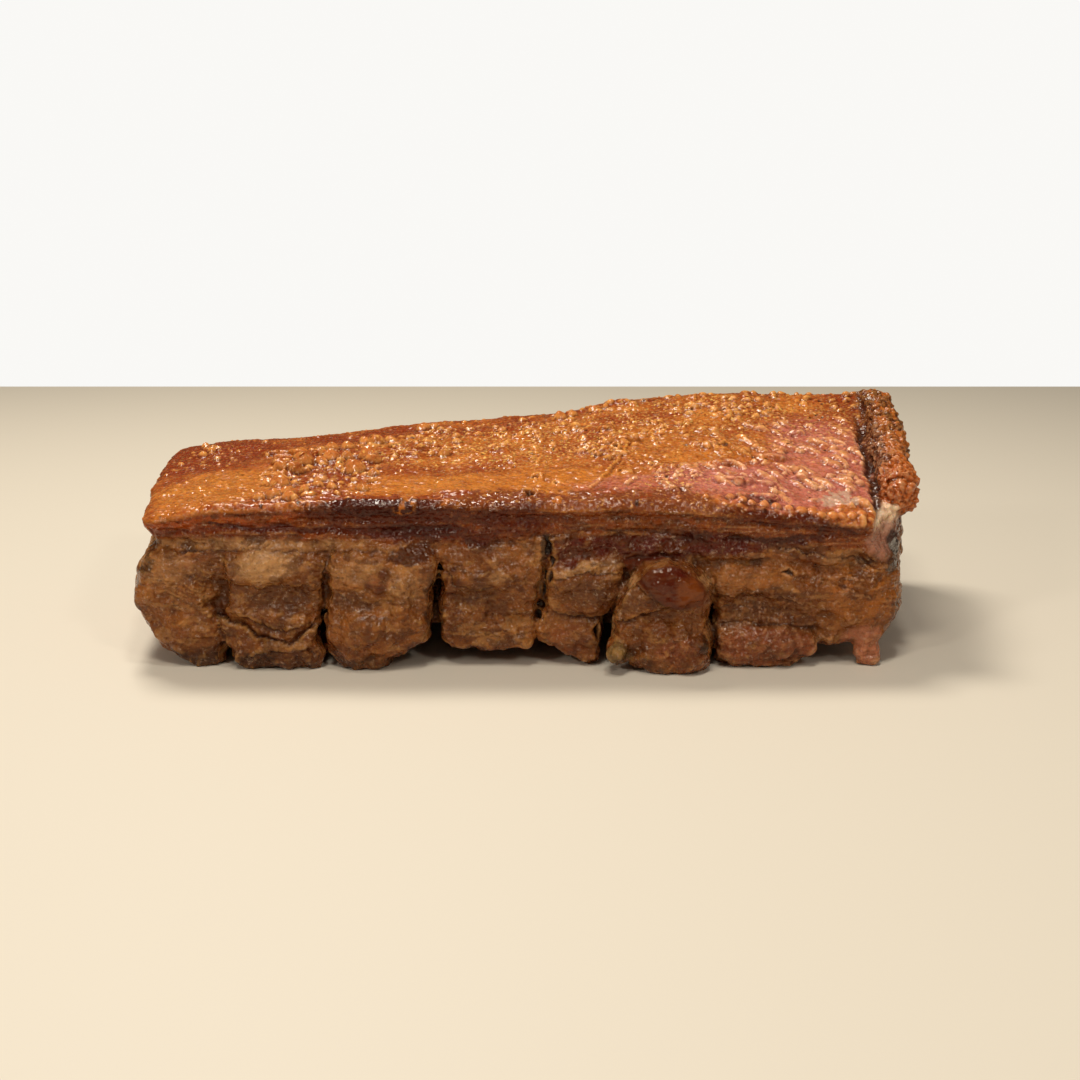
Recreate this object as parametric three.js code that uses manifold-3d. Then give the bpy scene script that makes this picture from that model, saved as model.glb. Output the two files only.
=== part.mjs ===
// A slab of roast pork belly with its crackled rind on top, lying on the uneven tips of its rib meat.
// Millimetres, +Z up. X runs along the slab, -Y is the cut face with the rib fingers, +Y the face behind.
import * as THREE from "three";
import { ImprovedNoise } from "three/addons/math/ImprovedNoise.js";
import { mergeVertices } from "three/addons/utils/BufferGeometryUtils.js";
import Module from "manifold-3d";

const wasm = await Module();
wasm.setup();

// Driving dimensions of the slab: its four corners in plan, seen from above.
const FRONT_LEFT = -129.5;
const FRONT_RIGHT = 109;
const BACK_LEFT = -145;
const BACK_RIGHT = 136;
const FRONT_Y = -62;
const BACK_Y = 64;
const EDGE_ROUND = 4;

// Height of the rind above the table along the front and back edges: [share of the length, height].
const FRONT_RIM = [[0, 51.5], [0.1, 55.5], [0.25, 57], [0.7, 57.4], [0.8, 55.5], [0.9, 52.8], [1, 50.5]];
const BACK_RIM = [
  [0, 54], [0.17, 58], [0.38, 63.8], [0.5, 66.8], [0.66, 74], [0.75, 76.4], [0.87, 75.8], [1, 76.6],
];

// Underside of the slab, where the fingers begin: high on the left, low where the meat holds together.
const UNDERSIDE = [[0, 30], [0.38, 30], [0.42, 34], [0.5, 33], [0.56, 23], [0.7, 22], [0.93, 21], [1, 21]];

// The layers that show on the cut face, as heights above the table.
const RIND_THICKNESS = 5;
const FAT_LINE = 42;
const FAT_LINE_WIDTH = 2.6;
const LIP_OVERHANG = 1.3;
const NOTCH_AT_LEFT_END = 4.5;
const CREASE_ELSEWHERE = 1.1;
const BULGE_AT_RIGHT_END = 6.5;
const SET_BACK_BELOW = 8;

const noise = new ImprovedNoise();

// Two octaves of smooth noise, about -1 to 1, with lumps of the given size.
function lumps(x, y, z, size) {
  const wide = noise.noise(x / size, y / size, z / size);
  const fine = noise.noise((x * 2.1) / size + 7, (y * 2.1) / size + 3, (z * 2.1) / size + 5);
  return wide + 0.45 * fine;
}

// A height that follows [share, height] pairs smoothly.
function follow(pairs, share) {
  const last = pairs.length - 1;
  if (share <= pairs[0][0]) return pairs[0][1];
  if (share >= pairs[last][0]) return pairs[last][1];
  const i = pairs.findIndex((pair) => pair[0] > share) - 1;
  const t = (share - pairs[i][0]) / (pairs[i + 1][0] - pairs[i][0]);
  const eased = (THREE.MathUtils.smootherstep(t, 0, 1) + t) / 2;
  return THREE.MathUtils.lerp(pairs[i][1], pairs[i + 1][1], eased);
}

// 1 at the middle of a band and 0 beyond its half width.
function band(value, middle, halfWidth) {
  const t = Math.min(1, Math.abs(value - middle) / halfWidth);
  return 1 - t * t * (3 - 2 * t);
}

// Swellings (+) and hollows (-) of the cut face in front view, as
// [X, Z, half width, half height, push, tilt in degrees].
const FACE_RELIEF = [
  [-119, 34, 14, 8, 1.8, 0], // pale fat, first finger
  [-118, 15, 13, 10, 1.4, 0],
  [-86, 35, 19, 7, 3.4, 0], // pale fat, second finger
  [-85, 22, 14, 7, -1.6, 0], // dark lean below it
  [-87, 7, 20, 6.5, 4, -6], // folded flap
  [-55, 34, 17, 7, 2.6, 0], // pale fat, third finger
  [-55, 14, 13, 11, 4, 20], // its belly
  [-17, 32, 17, 8, 3, 0], // brow of the fourth finger
  [-17, 20, 17, 5, -1, 0],
  [20, 27, 22, 7, 3.6, 10], // membrane flap
  [42, 31.5, 17, 7.5, 5.6, 14], // glazed oval
  [45, 8, 13, 10, 4.4, 0], // foot of the sixth finger
  [38, 19, 13, 4.5, -1.8, 0],
  [73, 31, 19, 6, 3, 2], // ledge to the right of the oval
  [74, 20, 17, 5, -1.2, 0],
  [75, 7, 17, 8, 3.2, 0], // red foot of the seventh finger
  [104, 26, 16, 12, 2.4, -10], // right corner
  [-60, 47, 60, 4, 0.8, 0], // fat under the rind
];

// How far the cut face stands out at a point in front view.
function faceRelief(x, z) {
  let push = 0;
  for (const [atX, atZ, halfWidth, halfHeight, height, tilt] of FACE_RELIEF) {
    const turn = THREE.MathUtils.degToRad(tilt);
    const along = ((x - atX) * Math.cos(turn) - (z - atZ) * Math.sin(turn)) / halfWidth;
    const up = ((x - atX) * Math.sin(turn) + (z - atZ) * Math.cos(turn)) / halfHeight;
    push += height * Math.exp(-1.2 * (along ** 2 + up ** 2));
  }
  return push;
}

// A closed geometry with only positions, its shared vertices merged.
function closed(geometry) {
  geometry.deleteAttribute("normal");
  geometry.deleteAttribute("uv");
  return mergeVertices(geometry, 1e-3);
}

// A box's surface grid, each point of which (-1 to 1 on every side) is sent to its place by the mapping.
function mappedBox([alongX, alongY, alongZ], place) {
  const geometry = closed(new THREE.BoxGeometry(2, 2, 2, alongX, alongY, alongZ));
  const position = geometry.attributes.position;
  const point = new THREE.Vector3();
  for (let i = 0; i < position.count; i++) {
    point.fromBufferAttribute(position, i);
    place(point);
    position.setXYZ(i, point.x, point.y, point.z);
  }
  return geometry;
}

// Moves every vertex along its normal by a noise with lumps of the given size.
function roughen(geometry, depth, size) {
  geometry.computeVertexNormals();
  const { position, normal } = geometry.attributes;
  for (let i = 0; i < position.count; i++) {
    const [x, y, z] = [position.getX(i), position.getY(i), position.getZ(i)];
    const push = depth * lumps(x, y, z, size);
    position.setXYZ(i, x + push * normal.getX(i), y + push * normal.getY(i), z + push * normal.getZ(i));
  }
  geometry.deleteAttribute("normal");
  return geometry;
}

// A geometry as a solid that can be joined and cut.
function solid(geometry) {
  const merged = mergeVertices(geometry, 1e-3);
  return new wasm.Manifold(
    new wasm.Mesh({
      numProp: 3,
      vertProperties: new Float32Array(merged.attributes.position.array),
      triVerts: new Uint32Array(merged.index.array),
    }),
  );
}

// Height of the rind at a share of the slab's length and depth.
function rindHeight(along, across) {
  const x = THREE.MathUtils.lerp(-135, 125, along);
  const flat = THREE.MathUtils.lerp(follow(FRONT_RIM, along), follow(BACK_RIM, along), across);
  const crown = 1.2 * Math.sin(Math.PI * across);
  return flat + crown + 0.9 * lumps(x, across * 125, 0, 22);
}

// The rind, the fat under it and the top of the meat, as one slab with rounded edges.
function slab() {
  const segments = [44, 14, 8];
  const length = FRONT_RIGHT - FRONT_LEFT;
  const half = new THREE.Vector3(length / 2, (BACK_Y - FRONT_Y) / 2, 14);
  const inner = new THREE.Vector3();
  return mappedBox(segments, (p) => {
    p.multiply(half);
    inner.set(
      THREE.MathUtils.clamp(p.x, EDGE_ROUND - half.x, half.x - EDGE_ROUND),
      THREE.MathUtils.clamp(p.y, EDGE_ROUND - half.y, half.y - EDGE_ROUND),
      THREE.MathUtils.clamp(p.z, EDGE_ROUND - half.z, half.z - EDGE_ROUND),
    );
    p.sub(inner);
    const outward = p.clone().normalize();
    p.setLength(EDGE_ROUND).add(inner).divide(half);
    const [along, across, up] = [(p.x + 1) / 2, (p.y + 1) / 2, (p.z + 1) / 2];
    const top = rindHeight(along, across);
    p.x = THREE.MathUtils.lerp(
      THREE.MathUtils.lerp(FRONT_LEFT, BACK_LEFT, across),
      THREE.MathUtils.lerp(FRONT_RIGHT, BACK_RIGHT, Math.sin((across * Math.PI) / 2)),
      along,
    );
    p.y = THREE.MathUtils.lerp(FRONT_Y, BACK_Y, across);
    p.z = THREE.MathUtils.lerp(follow(UNDERSIDE, along), top, up);

    // Shape the side walls: the rind overhangs a little, a crease runs under the fat, and below that
    // the wall steps back behind the fingers.
    const underRind = top - p.z;
    const lip = LIP_OVERHANG * band(underRind, 3, RIND_THICKNESS);
    const leftness = THREE.MathUtils.smoothstep(-p.x, 95, 128);
    const creaseDepth = THREE.MathUtils.lerp(CREASE_ELSEWHERE, NOTCH_AT_LEFT_END, leftness);
    const crease = creaseDepth * band(p.z, FAT_LINE, FAT_LINE_WIDTH + 2 * leftness);
    const wall = Math.hypot(outward.x, outward.y);
    const swelling = outward.y < 0 ? 1.2 + 0.5 * faceRelief(p.x, p.z) * band(p.z, 38, 9) : 0;
    const setBack = SET_BACK_BELOW * THREE.MathUtils.smoothstep(FAT_LINE - 3 - p.z, 0, 9);
    const rightEnd = outward.x > 0 ? THREE.MathUtils.smoothstep(underRind, 4, 22) * (1 - across) : 0;
    const rough = 0.9 * lumps(p.x, p.y, p.z * 1.6, 14);
    p.x += outward.x * ((lip - crease + rough) * wall + BULGE_AT_RIGHT_END * rightEnd);
    p.y += outward.y * (lip - crease + rough + swelling - setBack) * wall;
  });
}

// A finger of rib meat: its outline in front view runs the slab's whole depth and wanders a little.
// The outline is listed from its right side, upwards and round to the left.
function finger({ outline, front, back = BACK_Y - 2, round = 4, wander = 3, segments = [6, 6, 7] }) {
  const points = outline.map(([x, z]) => new THREE.Vector3(x, 0, z));
  const curve = new THREE.CatmullRomCurve3(points, true, "centripetal");
  const middle = new THREE.Box3().setFromPoints(points).getCenter(new THREE.Vector3());
  const splay = (middle.x + 10) / 130;
  const nearEnds = 0.25; // brings the cross-sections close to both ends
  const geometry = mappedBox(segments, (p) => {
    const ring = Math.max(Math.abs(p.x), Math.abs(p.z));
    const edge = curve.getPointAt((squareShare(p.x, p.z) + 1) % 1);
    const atEnd = Math.abs(p.y) > 0.999;
    const share = atEnd ? p.y : Math.sign(p.y) * Math.abs(p.y) ** nearEnds;
    // The end faces are slightly domed, with their rims drawn in by the rounding.
    const scale = ring * (atEnd ? 1 - (0.3 * round * ring) / 16 : 1);
    const x = middle.x + (edge.x - middle.x) * scale;
    const z = middle.z + (edge.z - middle.z) * scale;
    const domed = atEnd ? 0.3 * round * ring ** 4 * Math.sign(p.y) : 0;
    const swelling = atEnd ? faceRelief(p.y < 0 ? x : -x, z) * Math.sign(-p.y) : 0;
    const y = THREE.MathUtils.lerp(front, back, (share + 1) / 2) - domed - swelling;
    const away = THREE.MathUtils.clamp((y - front) / (BACK_Y - FRONT_Y), 0, 1);
    const loose = wander * Math.min(1, away * 3);
    p.set(
      x + away * splay * 14 + loose * noise.noise(middle.x / 20, y / 30, 4),
      y,
      z + 0.8 * loose * noise.noise(middle.x / 15, y / 25, 9),
    );
  });
  return roughen(geometry, 0.8, 10);
}

// The meat that the fingers share behind their front ends: [left, right], [front, back], [bottom, top].
// The first block lies deep inside; the webs after it close the creases between neighbours part of the way.
const WEBS = [
  { x: [-118, 96], y: [-42, 50], z: [9, 33], splay: 14, segments: [8, 4, 2] },
  { x: [-114, -94], y: [-56, -20], z: [4, 42], splay: 2, segments: [4, 2, 4] },
  { x: [-82, -56], y: [-61, -20], z: [19, 43], splay: 2, segments: [4, 2, 3] },
  { x: [-44, -22], y: [-60, -20], z: [34, 43], splay: 0, segments: [4, 2, 2] },
  { x: [-14, 16], y: [-59, -20], z: [14, 43], splay: 0, segments: [4, 2, 4] },
  { x: [8, 44], y: [-60, -20], z: [21, 42], splay: 0, segments: [5, 2, 3] },
  { x: [44, 72], y: [-61, -20], z: [22, 42], splay: 0, segments: [4, 2, 3] },
  { x: [76, 106], y: [-57, -20], z: [9, 42], splay: 0, segments: [4, 2, 4] },
];

function web({ x, y, z, splay, segments }) {
  const mix = THREE.MathUtils.lerp;
  const geometry = mappedBox(segments, (p) => {
    const across = (p.y + 1) / 2;
    const rounded = 5 * (1 - across) * (p.x ** 2 + 0.6 * p.z ** 2);
    p.set(
      mix(x[0], x[1], (p.x + 1) / 2) + splay * across * p.x,
      mix(...y, across) + rounded,
      mix(...z, (p.z + 1) / 2),
    );
  });
  return roughen(geometry, 0.9, 9);
}

// Where a direction meets a square ring, as a share of the way round from +X towards +Z.
function squareShare(x, z) {
  const ring = Math.max(Math.abs(x), Math.abs(z)) || 1;
  const [a, c] = [x / ring, z / ring];
  if (a >= Math.abs(c)) return c / 8;
  if (c >= Math.abs(a)) return 0.25 - a / 8;
  if (-a >= Math.abs(c)) return 0.5 - c / 8;
  return 0.75 + a / 8;
}

// The seven fingers and the corner piece, outlines as [X, Z] in front view.
const FINGERS = [
  { // left end, leaning outwards
    front: -61.5,
    outline: [[-103.6, 22], [-103, 38], [-105, 42.5], [-125, 42.5], [-130.5, 37], [-134, 23],
      [-131.5, 14.5], [-124, 6], [-113, -2.5], [-106.2, -2], [-104.2, 8]],
  },
  { // second, wide with a folded flap below
    front: -64,
    outline: [[-71, 22], [-69, 38], [-71, 43], [-101, 43], [-103.4, 38], [-103.8, 24], [-106, 13],
      [-102.5, 4], [-95, -3], [-78, -3], [-71.6, 2], [-73.4, 10]],
  },
  { // third, its foot pulled to the left
    front: -66,
    round: 5,
    outline: [[-35.4, 24], [-32.4, 38], [-34, 43], [-67, 43], [-69.6, 38], [-70, 25], [-71.4, 13],
      [-68.4, 4], [-64, -3.5], [-54.5, -3.5], [-45.5, 4.5], [-36.4, 11]],
  },
  { // fourth, square and lifted off the table
    front: -63,
    outline: [[-1, 24], [1.8, 38], [0, 43], [-30, 43], [-32.4, 38], [-32.9, 24], [-32.8, 8.4], [-28, 5.2],
      [-14, 5.4], [-3.8, 5], [-2, 11]],
  },
  { // fifth, a block with a small foot at its right
    front: -62,
    outline: [[26, 24], [28, 36], [24, 42], [5, 42], [2.4, 36], [2, 22], [-1.8, 12], [5, 5.2],
      [13, 0.6], [19.2, 1], [20.6, 9], [21, 16]],
  },
  { // sixth, the lowest, bulging forward
    front: -69,
    round: 6,
    outline: [[55, 19], [56.4, 27], [51, 36], [36, 37], [27, 29], [23.6, 16], [24.6, 10], [28.6, 2.5],
      [35, -4], [47.4, -4], [55, 0.5], [57, 9]],
  },
  { // seventh, a long block with a red foot
    front: -61,
    outline: [[91.4, 14], [93, 30], [88, 38], [62, 38], [57.8, 30], [58, 18], [57.1, 9], [59, 1], [66, -2],
      [81, -2], [89, 2], [91.6, 8]],
  },
  { // right end, a corner that hangs clear of the table
    front: -60,
    round: 7,
    outline: [[120.6, 21], [118.6, 31], [113, 41], [90, 42], [80, 36], [80, 24], [86, 15],
      [91.6, 7.2], [100, 5.4], [107, 7], [114.5, 10], [119, 15]],
  },
];

// A rounded lump: an ellipsoid with its axes, turned about X, Y and Z in degrees, with a rough surface.
function lump({ at, radii, turn = [0, 0, 0], rough = 0.8, size = 6, detail = [12, 8] }) {
  const geometry = closed(new THREE.SphereGeometry(1, ...detail));
  geometry.scale(...radii);
  const radians = turn.map(THREE.MathUtils.degToRad);
  geometry.rotateX(radians[0]).rotateY(radians[1]).rotateZ(radians[2]);
  geometry.translate(...at);
  return rough ? roughen(geometry, rough, size) : geometry;
}

// Small pieces that stand free of the cut face, and what hangs at the right end.
const LUMPS = [
  { at: [25.4, -67, 7.2], radii: [4.3, 6, 4.5], rough: 0.2 }, // rib cartilage
  { at: [33, -62, 8], radii: [9, 6, 5], detail: [9, 6] }, // the meat that it is set in
  { at: [108.6, -57, 5], radii: [4.6, 4, 7.5], turn: [0, 12, 0], detail: [10, 7] }, // hanging tag
  { at: [111, -56.5, 11], radii: [4, 3.6, 3.6], detail: [8, 6] }, // knuckle of the tag
  { at: [110, -52, 15], radii: [5, 5, 5], detail: [8, 6] }, // root of the tag
  { at: [112.6, -44, 42], radii: [8.2, 11, 8], detail: [10, 7] }, // charred end of a meat layer
  { at: [116, -41, 37.5], radii: [5.5, 7, 4.5], detail: [8, 6] }, // its black tip
  { at: [114.5, -43, 48.5], radii: [5.6, 9, 6], detail: [8, 6] }, // fat above it
];

// The rind's right edge has curled up and out into a thick rim: a rough roll along a path.
function curledRim() {
  const path = new THREE.CatmullRomCurve3([
    new THREE.Vector3(119.5, -46, 55),
    new THREE.Vector3(121, -32, 57.5),
    new THREE.Vector3(123.5, -8, 63),
    new THREE.Vector3(126.5, 18, 67.5),
    new THREE.Vector3(129.5, 42, 69.4),
    new THREE.Vector3(130.5, 59, 69.2),
  ]);
  const roll = new THREE.Shape().absellipse(0, 0, 7, 8.2, 0, Math.PI * 2);
  const geometry = new THREE.ExtrudeGeometry(roll, { steps: 14, curveSegments: 4, extrudePath: path });
  return roughen(closed(geometry), 1.5, 6);
}

// The torn front corner of the rim, which flares out over the end, and its rounded back end.
const RIM_FLARES = [
  { at: [123, -33, 56], radii: [7, 9, 5], turn: [0, -35, 0], rough: 1.2, size: 4, detail: [9, 6] },
  { at: [120.5, -45, 54.5], radii: [6.4, 5, 6.5], rough: 1, size: 4, detail: [8, 6] },
  { at: [130, 58, 68.8], radii: [6.6, 5, 6.6], rough: 0.8, size: 4, detail: [8, 6] },
];

// A small generator of numbers from 0 to 1, the same on every run.
function seeded(seed) {
  let state = seed;
  return () => {
    state = (state * 16807) % 2147483647;
    return state / 2147483647;
  };
}

// Patches of blisters on the rind, placed by shares of its length and depth.
const BLISTER_PATCHES = [
  { along: 0.2, across: 0.46, spreadX: 0.05, spreadY: 0.2, count: 9, radius: 4, tall: 0.75 },
  { along: 0.31, across: 0.55, spreadX: 0.04, spreadY: 0.22, count: 4, radius: 3.4, tall: 0.7 },
  { along: 0.5, across: 0.7, spreadX: 0.2, spreadY: 0.25, count: 6, radius: 3.4, tall: 0.6 },
  { along: 0.82, across: 0.4, spreadX: 0.14, spreadY: 0.36, count: 10, radius: 3.8, tall: 0.55 },
  { along: 0.62, across: 0.88, spreadX: 0.24, spreadY: 0.05, count: 4, radius: 3.6, tall: 0.4 },
];

// One dome for each blister, sunk a little into the rind and drawn out along a slanted line.
function blisters() {
  const random = seeded(20261);
  const domes = [];
  for (const patch of BLISTER_PATCHES) {
    for (let i = 0; i < patch.count; i++) {
      const along = patch.along + patch.spreadX * (2 * random() - 1);
      const across = patch.across + patch.spreadY * (2 * random() - 1);
      const radius = patch.radius * (0.7 + 0.6 * random());
      const stretch = 1 + 0.6 * random();
      const left = THREE.MathUtils.lerp(FRONT_LEFT, BACK_LEFT, across);
      const right = THREE.MathUtils.lerp(FRONT_RIGHT, BACK_RIGHT, Math.sin((across * Math.PI) / 2));
      domes.push(
        lump({
          at: [
            THREE.MathUtils.lerp(left, right, along),
            THREE.MathUtils.lerp(FRONT_Y, BACK_Y, across),
            rindHeight(along, across) - 0.2 * radius,
          ],
          radii: [radius * stretch, radius, radius * patch.tall],
          turn: [0, 0, 30 * (random() - 0.8)],
          rough: 0,
          detail: [7, 4],
        }),
      );
    }
  }
  return domes;
}

// What is flattened where the slab rests on the table.
function underTable() {
  const depth = 20;
  const block = closed(new THREE.BoxGeometry(400, 300, depth));
  block.translate(0, 0, -depth / 2);
  return solid(block);
}

// Everything joined into one body, cut flat below and set over the middle of its own box.
function porkBelly() {
  let body = solid(slab());
  const added = [
    ...WEBS.map(web),
    ...FINGERS.map(finger),
    ...LUMPS.map(lump),
    curledRim(),
    ...RIM_FLARES.map(lump),
    ...blisters(),
  ];
  for (const piece of added) body = body.add(solid(piece));
  body = body.subtract(underTable());
  const mesh = body.getMesh();
  const geometry = new THREE.BufferGeometry()
    .setAttribute("position", new THREE.BufferAttribute(new Float32Array(mesh.vertProperties), 3))
    .setIndex(new THREE.BufferAttribute(new Uint32Array(mesh.triVerts), 1));
  geometry.computeBoundingBox();
  const middle = geometry.boundingBox.getCenter(new THREE.Vector3());
  geometry.translate(-middle.x, -middle.y, 0);
  geometry.computeVertexNormals();
  return geometry;
}

const roasted = new THREE.MeshStandardMaterial({ color: 0x8a4f26, roughness: 0.45, metalness: 0 });
const belly = new THREE.Mesh(porkBelly(), roasted);
belly.name = "pork_belly";

const group = new THREE.Group();
group.add(belly);

export default group;
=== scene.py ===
# %% [markdown]
# This scene is a slab of roast pork belly: blistered rind on top, browned fat below it, and eight fingers
# of rib meat on the cut face. Its plain solid is made in CAD, so the scene starts by loading that solid
# as a fixed frame and measuring it. Everything that follows is fitted to the solid and stays inside its
# box. The roast could also be modelled in Blender from nothing, but then its size would be anyone's
# guess.

import math

import bmesh
import bpy
import numpy as np
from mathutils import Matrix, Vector


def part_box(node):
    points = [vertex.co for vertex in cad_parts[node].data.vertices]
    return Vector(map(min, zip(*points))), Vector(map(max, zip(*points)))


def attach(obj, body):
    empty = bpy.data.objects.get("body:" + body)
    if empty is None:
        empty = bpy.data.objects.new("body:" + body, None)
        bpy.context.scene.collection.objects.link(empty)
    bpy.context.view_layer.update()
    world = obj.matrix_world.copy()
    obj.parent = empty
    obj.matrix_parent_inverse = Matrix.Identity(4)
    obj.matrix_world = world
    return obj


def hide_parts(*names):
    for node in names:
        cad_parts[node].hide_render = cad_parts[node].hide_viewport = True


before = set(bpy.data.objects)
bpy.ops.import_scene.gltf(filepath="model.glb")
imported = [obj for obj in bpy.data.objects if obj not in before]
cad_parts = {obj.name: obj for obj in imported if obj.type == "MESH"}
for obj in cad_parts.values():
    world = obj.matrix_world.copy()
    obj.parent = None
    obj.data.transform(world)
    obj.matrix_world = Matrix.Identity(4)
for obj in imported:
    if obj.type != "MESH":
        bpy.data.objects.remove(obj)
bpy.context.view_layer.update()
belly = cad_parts["pork_belly"]
low_corner, high_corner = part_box("pork_belly")
MILLIMETRES = 1000
print("solid, mm:", [round(MILLIMETRES * (high_corner[i] - low_corner[i]), 1) for i in range(3)])

# %% [markdown]
# The photograph is taken from in front and a little above, with the near edge of the meat almost square
# to the lens. A camera is a position, a tilt and a focal length. All three follow from how level lines
# run towards their horizon, so they are set as plain numbers here instead of being tried out by eye. The
# focal length is measured in picture widths: 1640 pixels of a frame that is 1080 pixels wide.

# %% The camera
FOCAL_PIXELS = 1640
FRAME_PIXELS = 1080
SENSOR_WIDTH = 36
HORIZON_PIXEL = 165
tilt_down = math.atan((FRAME_PIXELS / 2 - HORIZON_PIXEL) / FOCAL_PIXELS)

camera_data = bpy.data.cameras.new("photo camera")
camera_data.sensor_width = SENSOR_WIDTH
camera_data.lens = SENSOR_WIDTH * FOCAL_PIXELS / FRAME_PIXELS
camera = bpy.data.objects.new("photo camera", camera_data)
camera.location = (0.0041, -0.5795, 0.1626)
camera.rotation_euler = (math.pi / 2 - tilt_down, 0, 0)
bpy.context.scene.collection.objects.link(camera)
bpy.context.scene.camera = camera
print("tilt, degrees:", round(math.degrees(tilt_down), 2), "lens, mm:", round(camera_data.lens, 1))

# %% [markdown]
# Roast skin is all highlights, so the light matters as much as the colour. In the photograph daylight
# comes from behind and above the meat: the rind glows, and the cut face is lit by what comes back from in
# front. One large lamp above and behind gives the long highlights, and a second one in front lights the
# cut face. The grease on the meat sparkles, so three small lamps add what large ones can't: hard, bright
# dots on every wet bump. The world fills the shadows. Wet meat would mirror a pale room as a grey haze,
# so what the world shows to reflections is darker and warmer than what it gives as light.

# %% Lamps
def soft_lamp(name, place, aim, size, power, colour=(1, 1, 1)):
    """A square lamp at a place in metres, turned towards a point."""
    data = bpy.data.lights.new(name, "AREA")
    data.shape = "SQUARE"
    data.size = size
    data.energy = power
    data.color = colour
    lamp = bpy.data.objects.new(name, data)
    lamp.location = place
    lamp.rotation_euler = (Vector(aim) - Vector(place)).to_track_quat("-Z", "Y").to_euler()
    bpy.context.scene.collection.objects.link(lamp)
    return lamp


soft_lamp("window above", (-0.25, 0.35, 0.95), (0, 0.02, 0.05), 0.3, 7.5, (1.0, 0.98, 0.95))
soft_lamp("window in front", (-0.15, -0.6, 1.1), (0, 0, 0.04), 0.22, 4.0, (1.0, 0.97, 0.93))
soft_lamp("glint left", (-0.6, -0.8, 0.55), (0, 0, 0.04), 0.12, 1.9)
soft_lamp("glint right", (0.45, -0.85, 0.7), (0, 0, 0.04), 0.12, 1.5)
soft_lamp("glint above", (0.1, -0.3, 1.05), (0, 0, 0.04), 0.1, 2.0)
print("lamps, watts:", {lamp.name: round(lamp.energy, 1) for lamp in bpy.data.lights})

# %% The world
room = bpy.data.worlds.new("pale room")
room.use_nodes = True
room_nodes, room_links = room.node_tree.nodes, room.node_tree.links
fill = room_nodes["Background"]
fill.inputs["Color"].default_value = (1.0, 0.985, 0.96, 1)
fill.inputs["Strength"].default_value = 0.16
mirrored = room_nodes.new("ShaderNodeBackground")
mirrored.inputs["Color"].default_value = (1.0, 0.8, 0.6, 1)
mirrored.inputs["Strength"].default_value = 0.06
backdrop = room_nodes.new("ShaderNodeBackground")
backdrop.inputs["Color"].default_value = (1.0, 0.99, 0.965, 1)
backdrop.inputs["Strength"].default_value = 0.95
sort_of_ray = room_nodes.new("ShaderNodeLightPath")
dim_choice = room_nodes.new("ShaderNodeMixShader")
room_links.new(sort_of_ray.outputs["Is Glossy Ray"], dim_choice.inputs[0])
room_links.new(fill.outputs[0], dim_choice.inputs[1])
room_links.new(mirrored.outputs[0], dim_choice.inputs[2])
choice = room_nodes.new("ShaderNodeMixShader")
room_links.new(sort_of_ray.outputs["Is Camera Ray"], choice.inputs[0])
room_links.new(dim_choice.outputs[0], choice.inputs[1])
room_links.new(backdrop.outputs[0], choice.inputs[2])
room_links.new(choice.outputs[0], room_nodes["World Output"].inputs["Surface"])
bpy.context.scene.world = room
bpy.context.scene.view_settings.view_transform = "Standard"
strengths = [node.inputs["Strength"].default_value for node in (fill, mirrored, backdrop)]
print("world strengths:", [round(strength, 2) for strength in strengths])


# %% The floor
def tone(red, green, blue):
    """A colour picked as 0 to 255 on a screen, in the linear values that nodes use."""
    screen = [value / 255 for value in (red, green, blue)]
    linear = [value / 12.92 if value <= 0.04045 else ((value + 0.055) / 1.055) ** 2.4 for value in screen]
    return (*linear, 1.0)


HALF_FLOOR = 1.1
FLOOR_MIDDLE = (0, -0.45, 0)
floor_shape = bmesh.new()
bmesh.ops.create_grid(floor_shape, x_segments=1, y_segments=1, size=HALF_FLOOR)
bmesh.ops.translate(floor_shape, vec=FLOOR_MIDDLE, verts=floor_shape.verts)
floor_mesh = bpy.data.meshes.new("floor")
floor_shape.to_mesh(floor_mesh)
floor_shape.free()
floor = bpy.data.objects.new("floor", floor_mesh)
bpy.context.scene.collection.objects.link(floor)
floor_finish = bpy.data.materials.new("pale floor")
floor_finish.use_nodes = True
floor_shader = floor_finish.node_tree.nodes["Principled BSDF"]
floor_shader.inputs["Base Color"].default_value = tone(220, 206, 182)
floor_shader.inputs["Roughness"].default_value = 0.6
floor_mesh.materials.append(floor_finish)
print("floor, m:", [round(length, 2) for length in floor.dimensions])

# %% [markdown]
# Everything rough on the roast, from its bubbles to its fibres, comes from two kinds of pattern. Smooth
# noise gives swellings with no edges. Cells give separate things, such as one blister in each square of a
# grid, moved a little from the middle so that the grid doesn't show. Blender has both as textures, but
# here each vertex is moved by them, so they are written for whole arrays of points at once. Lengths are
# millimetres.

# %% Smooth noise
PRIMES = (73856093, 19349663, 83492791)
FULL_SWING = 1.6


def scramble(whole, seed):
    """A well mixed whole number for each row of whole numbers."""
    mixed = np.full(len(whole[0]), (seed * 2654435761) & 0xFFFFFFFF, dtype=np.uint32)
    for values, prime in zip(whole, PRIMES):
        mixed = mixed ^ (values.astype(np.int64).astype(np.uint32) * np.uint32(prime))
        mixed = (mixed ^ (mixed >> np.uint32(13))) * np.uint32(1274126177)
    return mixed ^ (mixed >> np.uint32(16))


def share(mixed, part):
    """A number from 0 to 1 out of one part of a mixed number: part is 0, 1, 2 or 3."""
    return ((mixed >> np.uint32(8 * part)) & np.uint32(255)).astype(float) / 255


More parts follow.
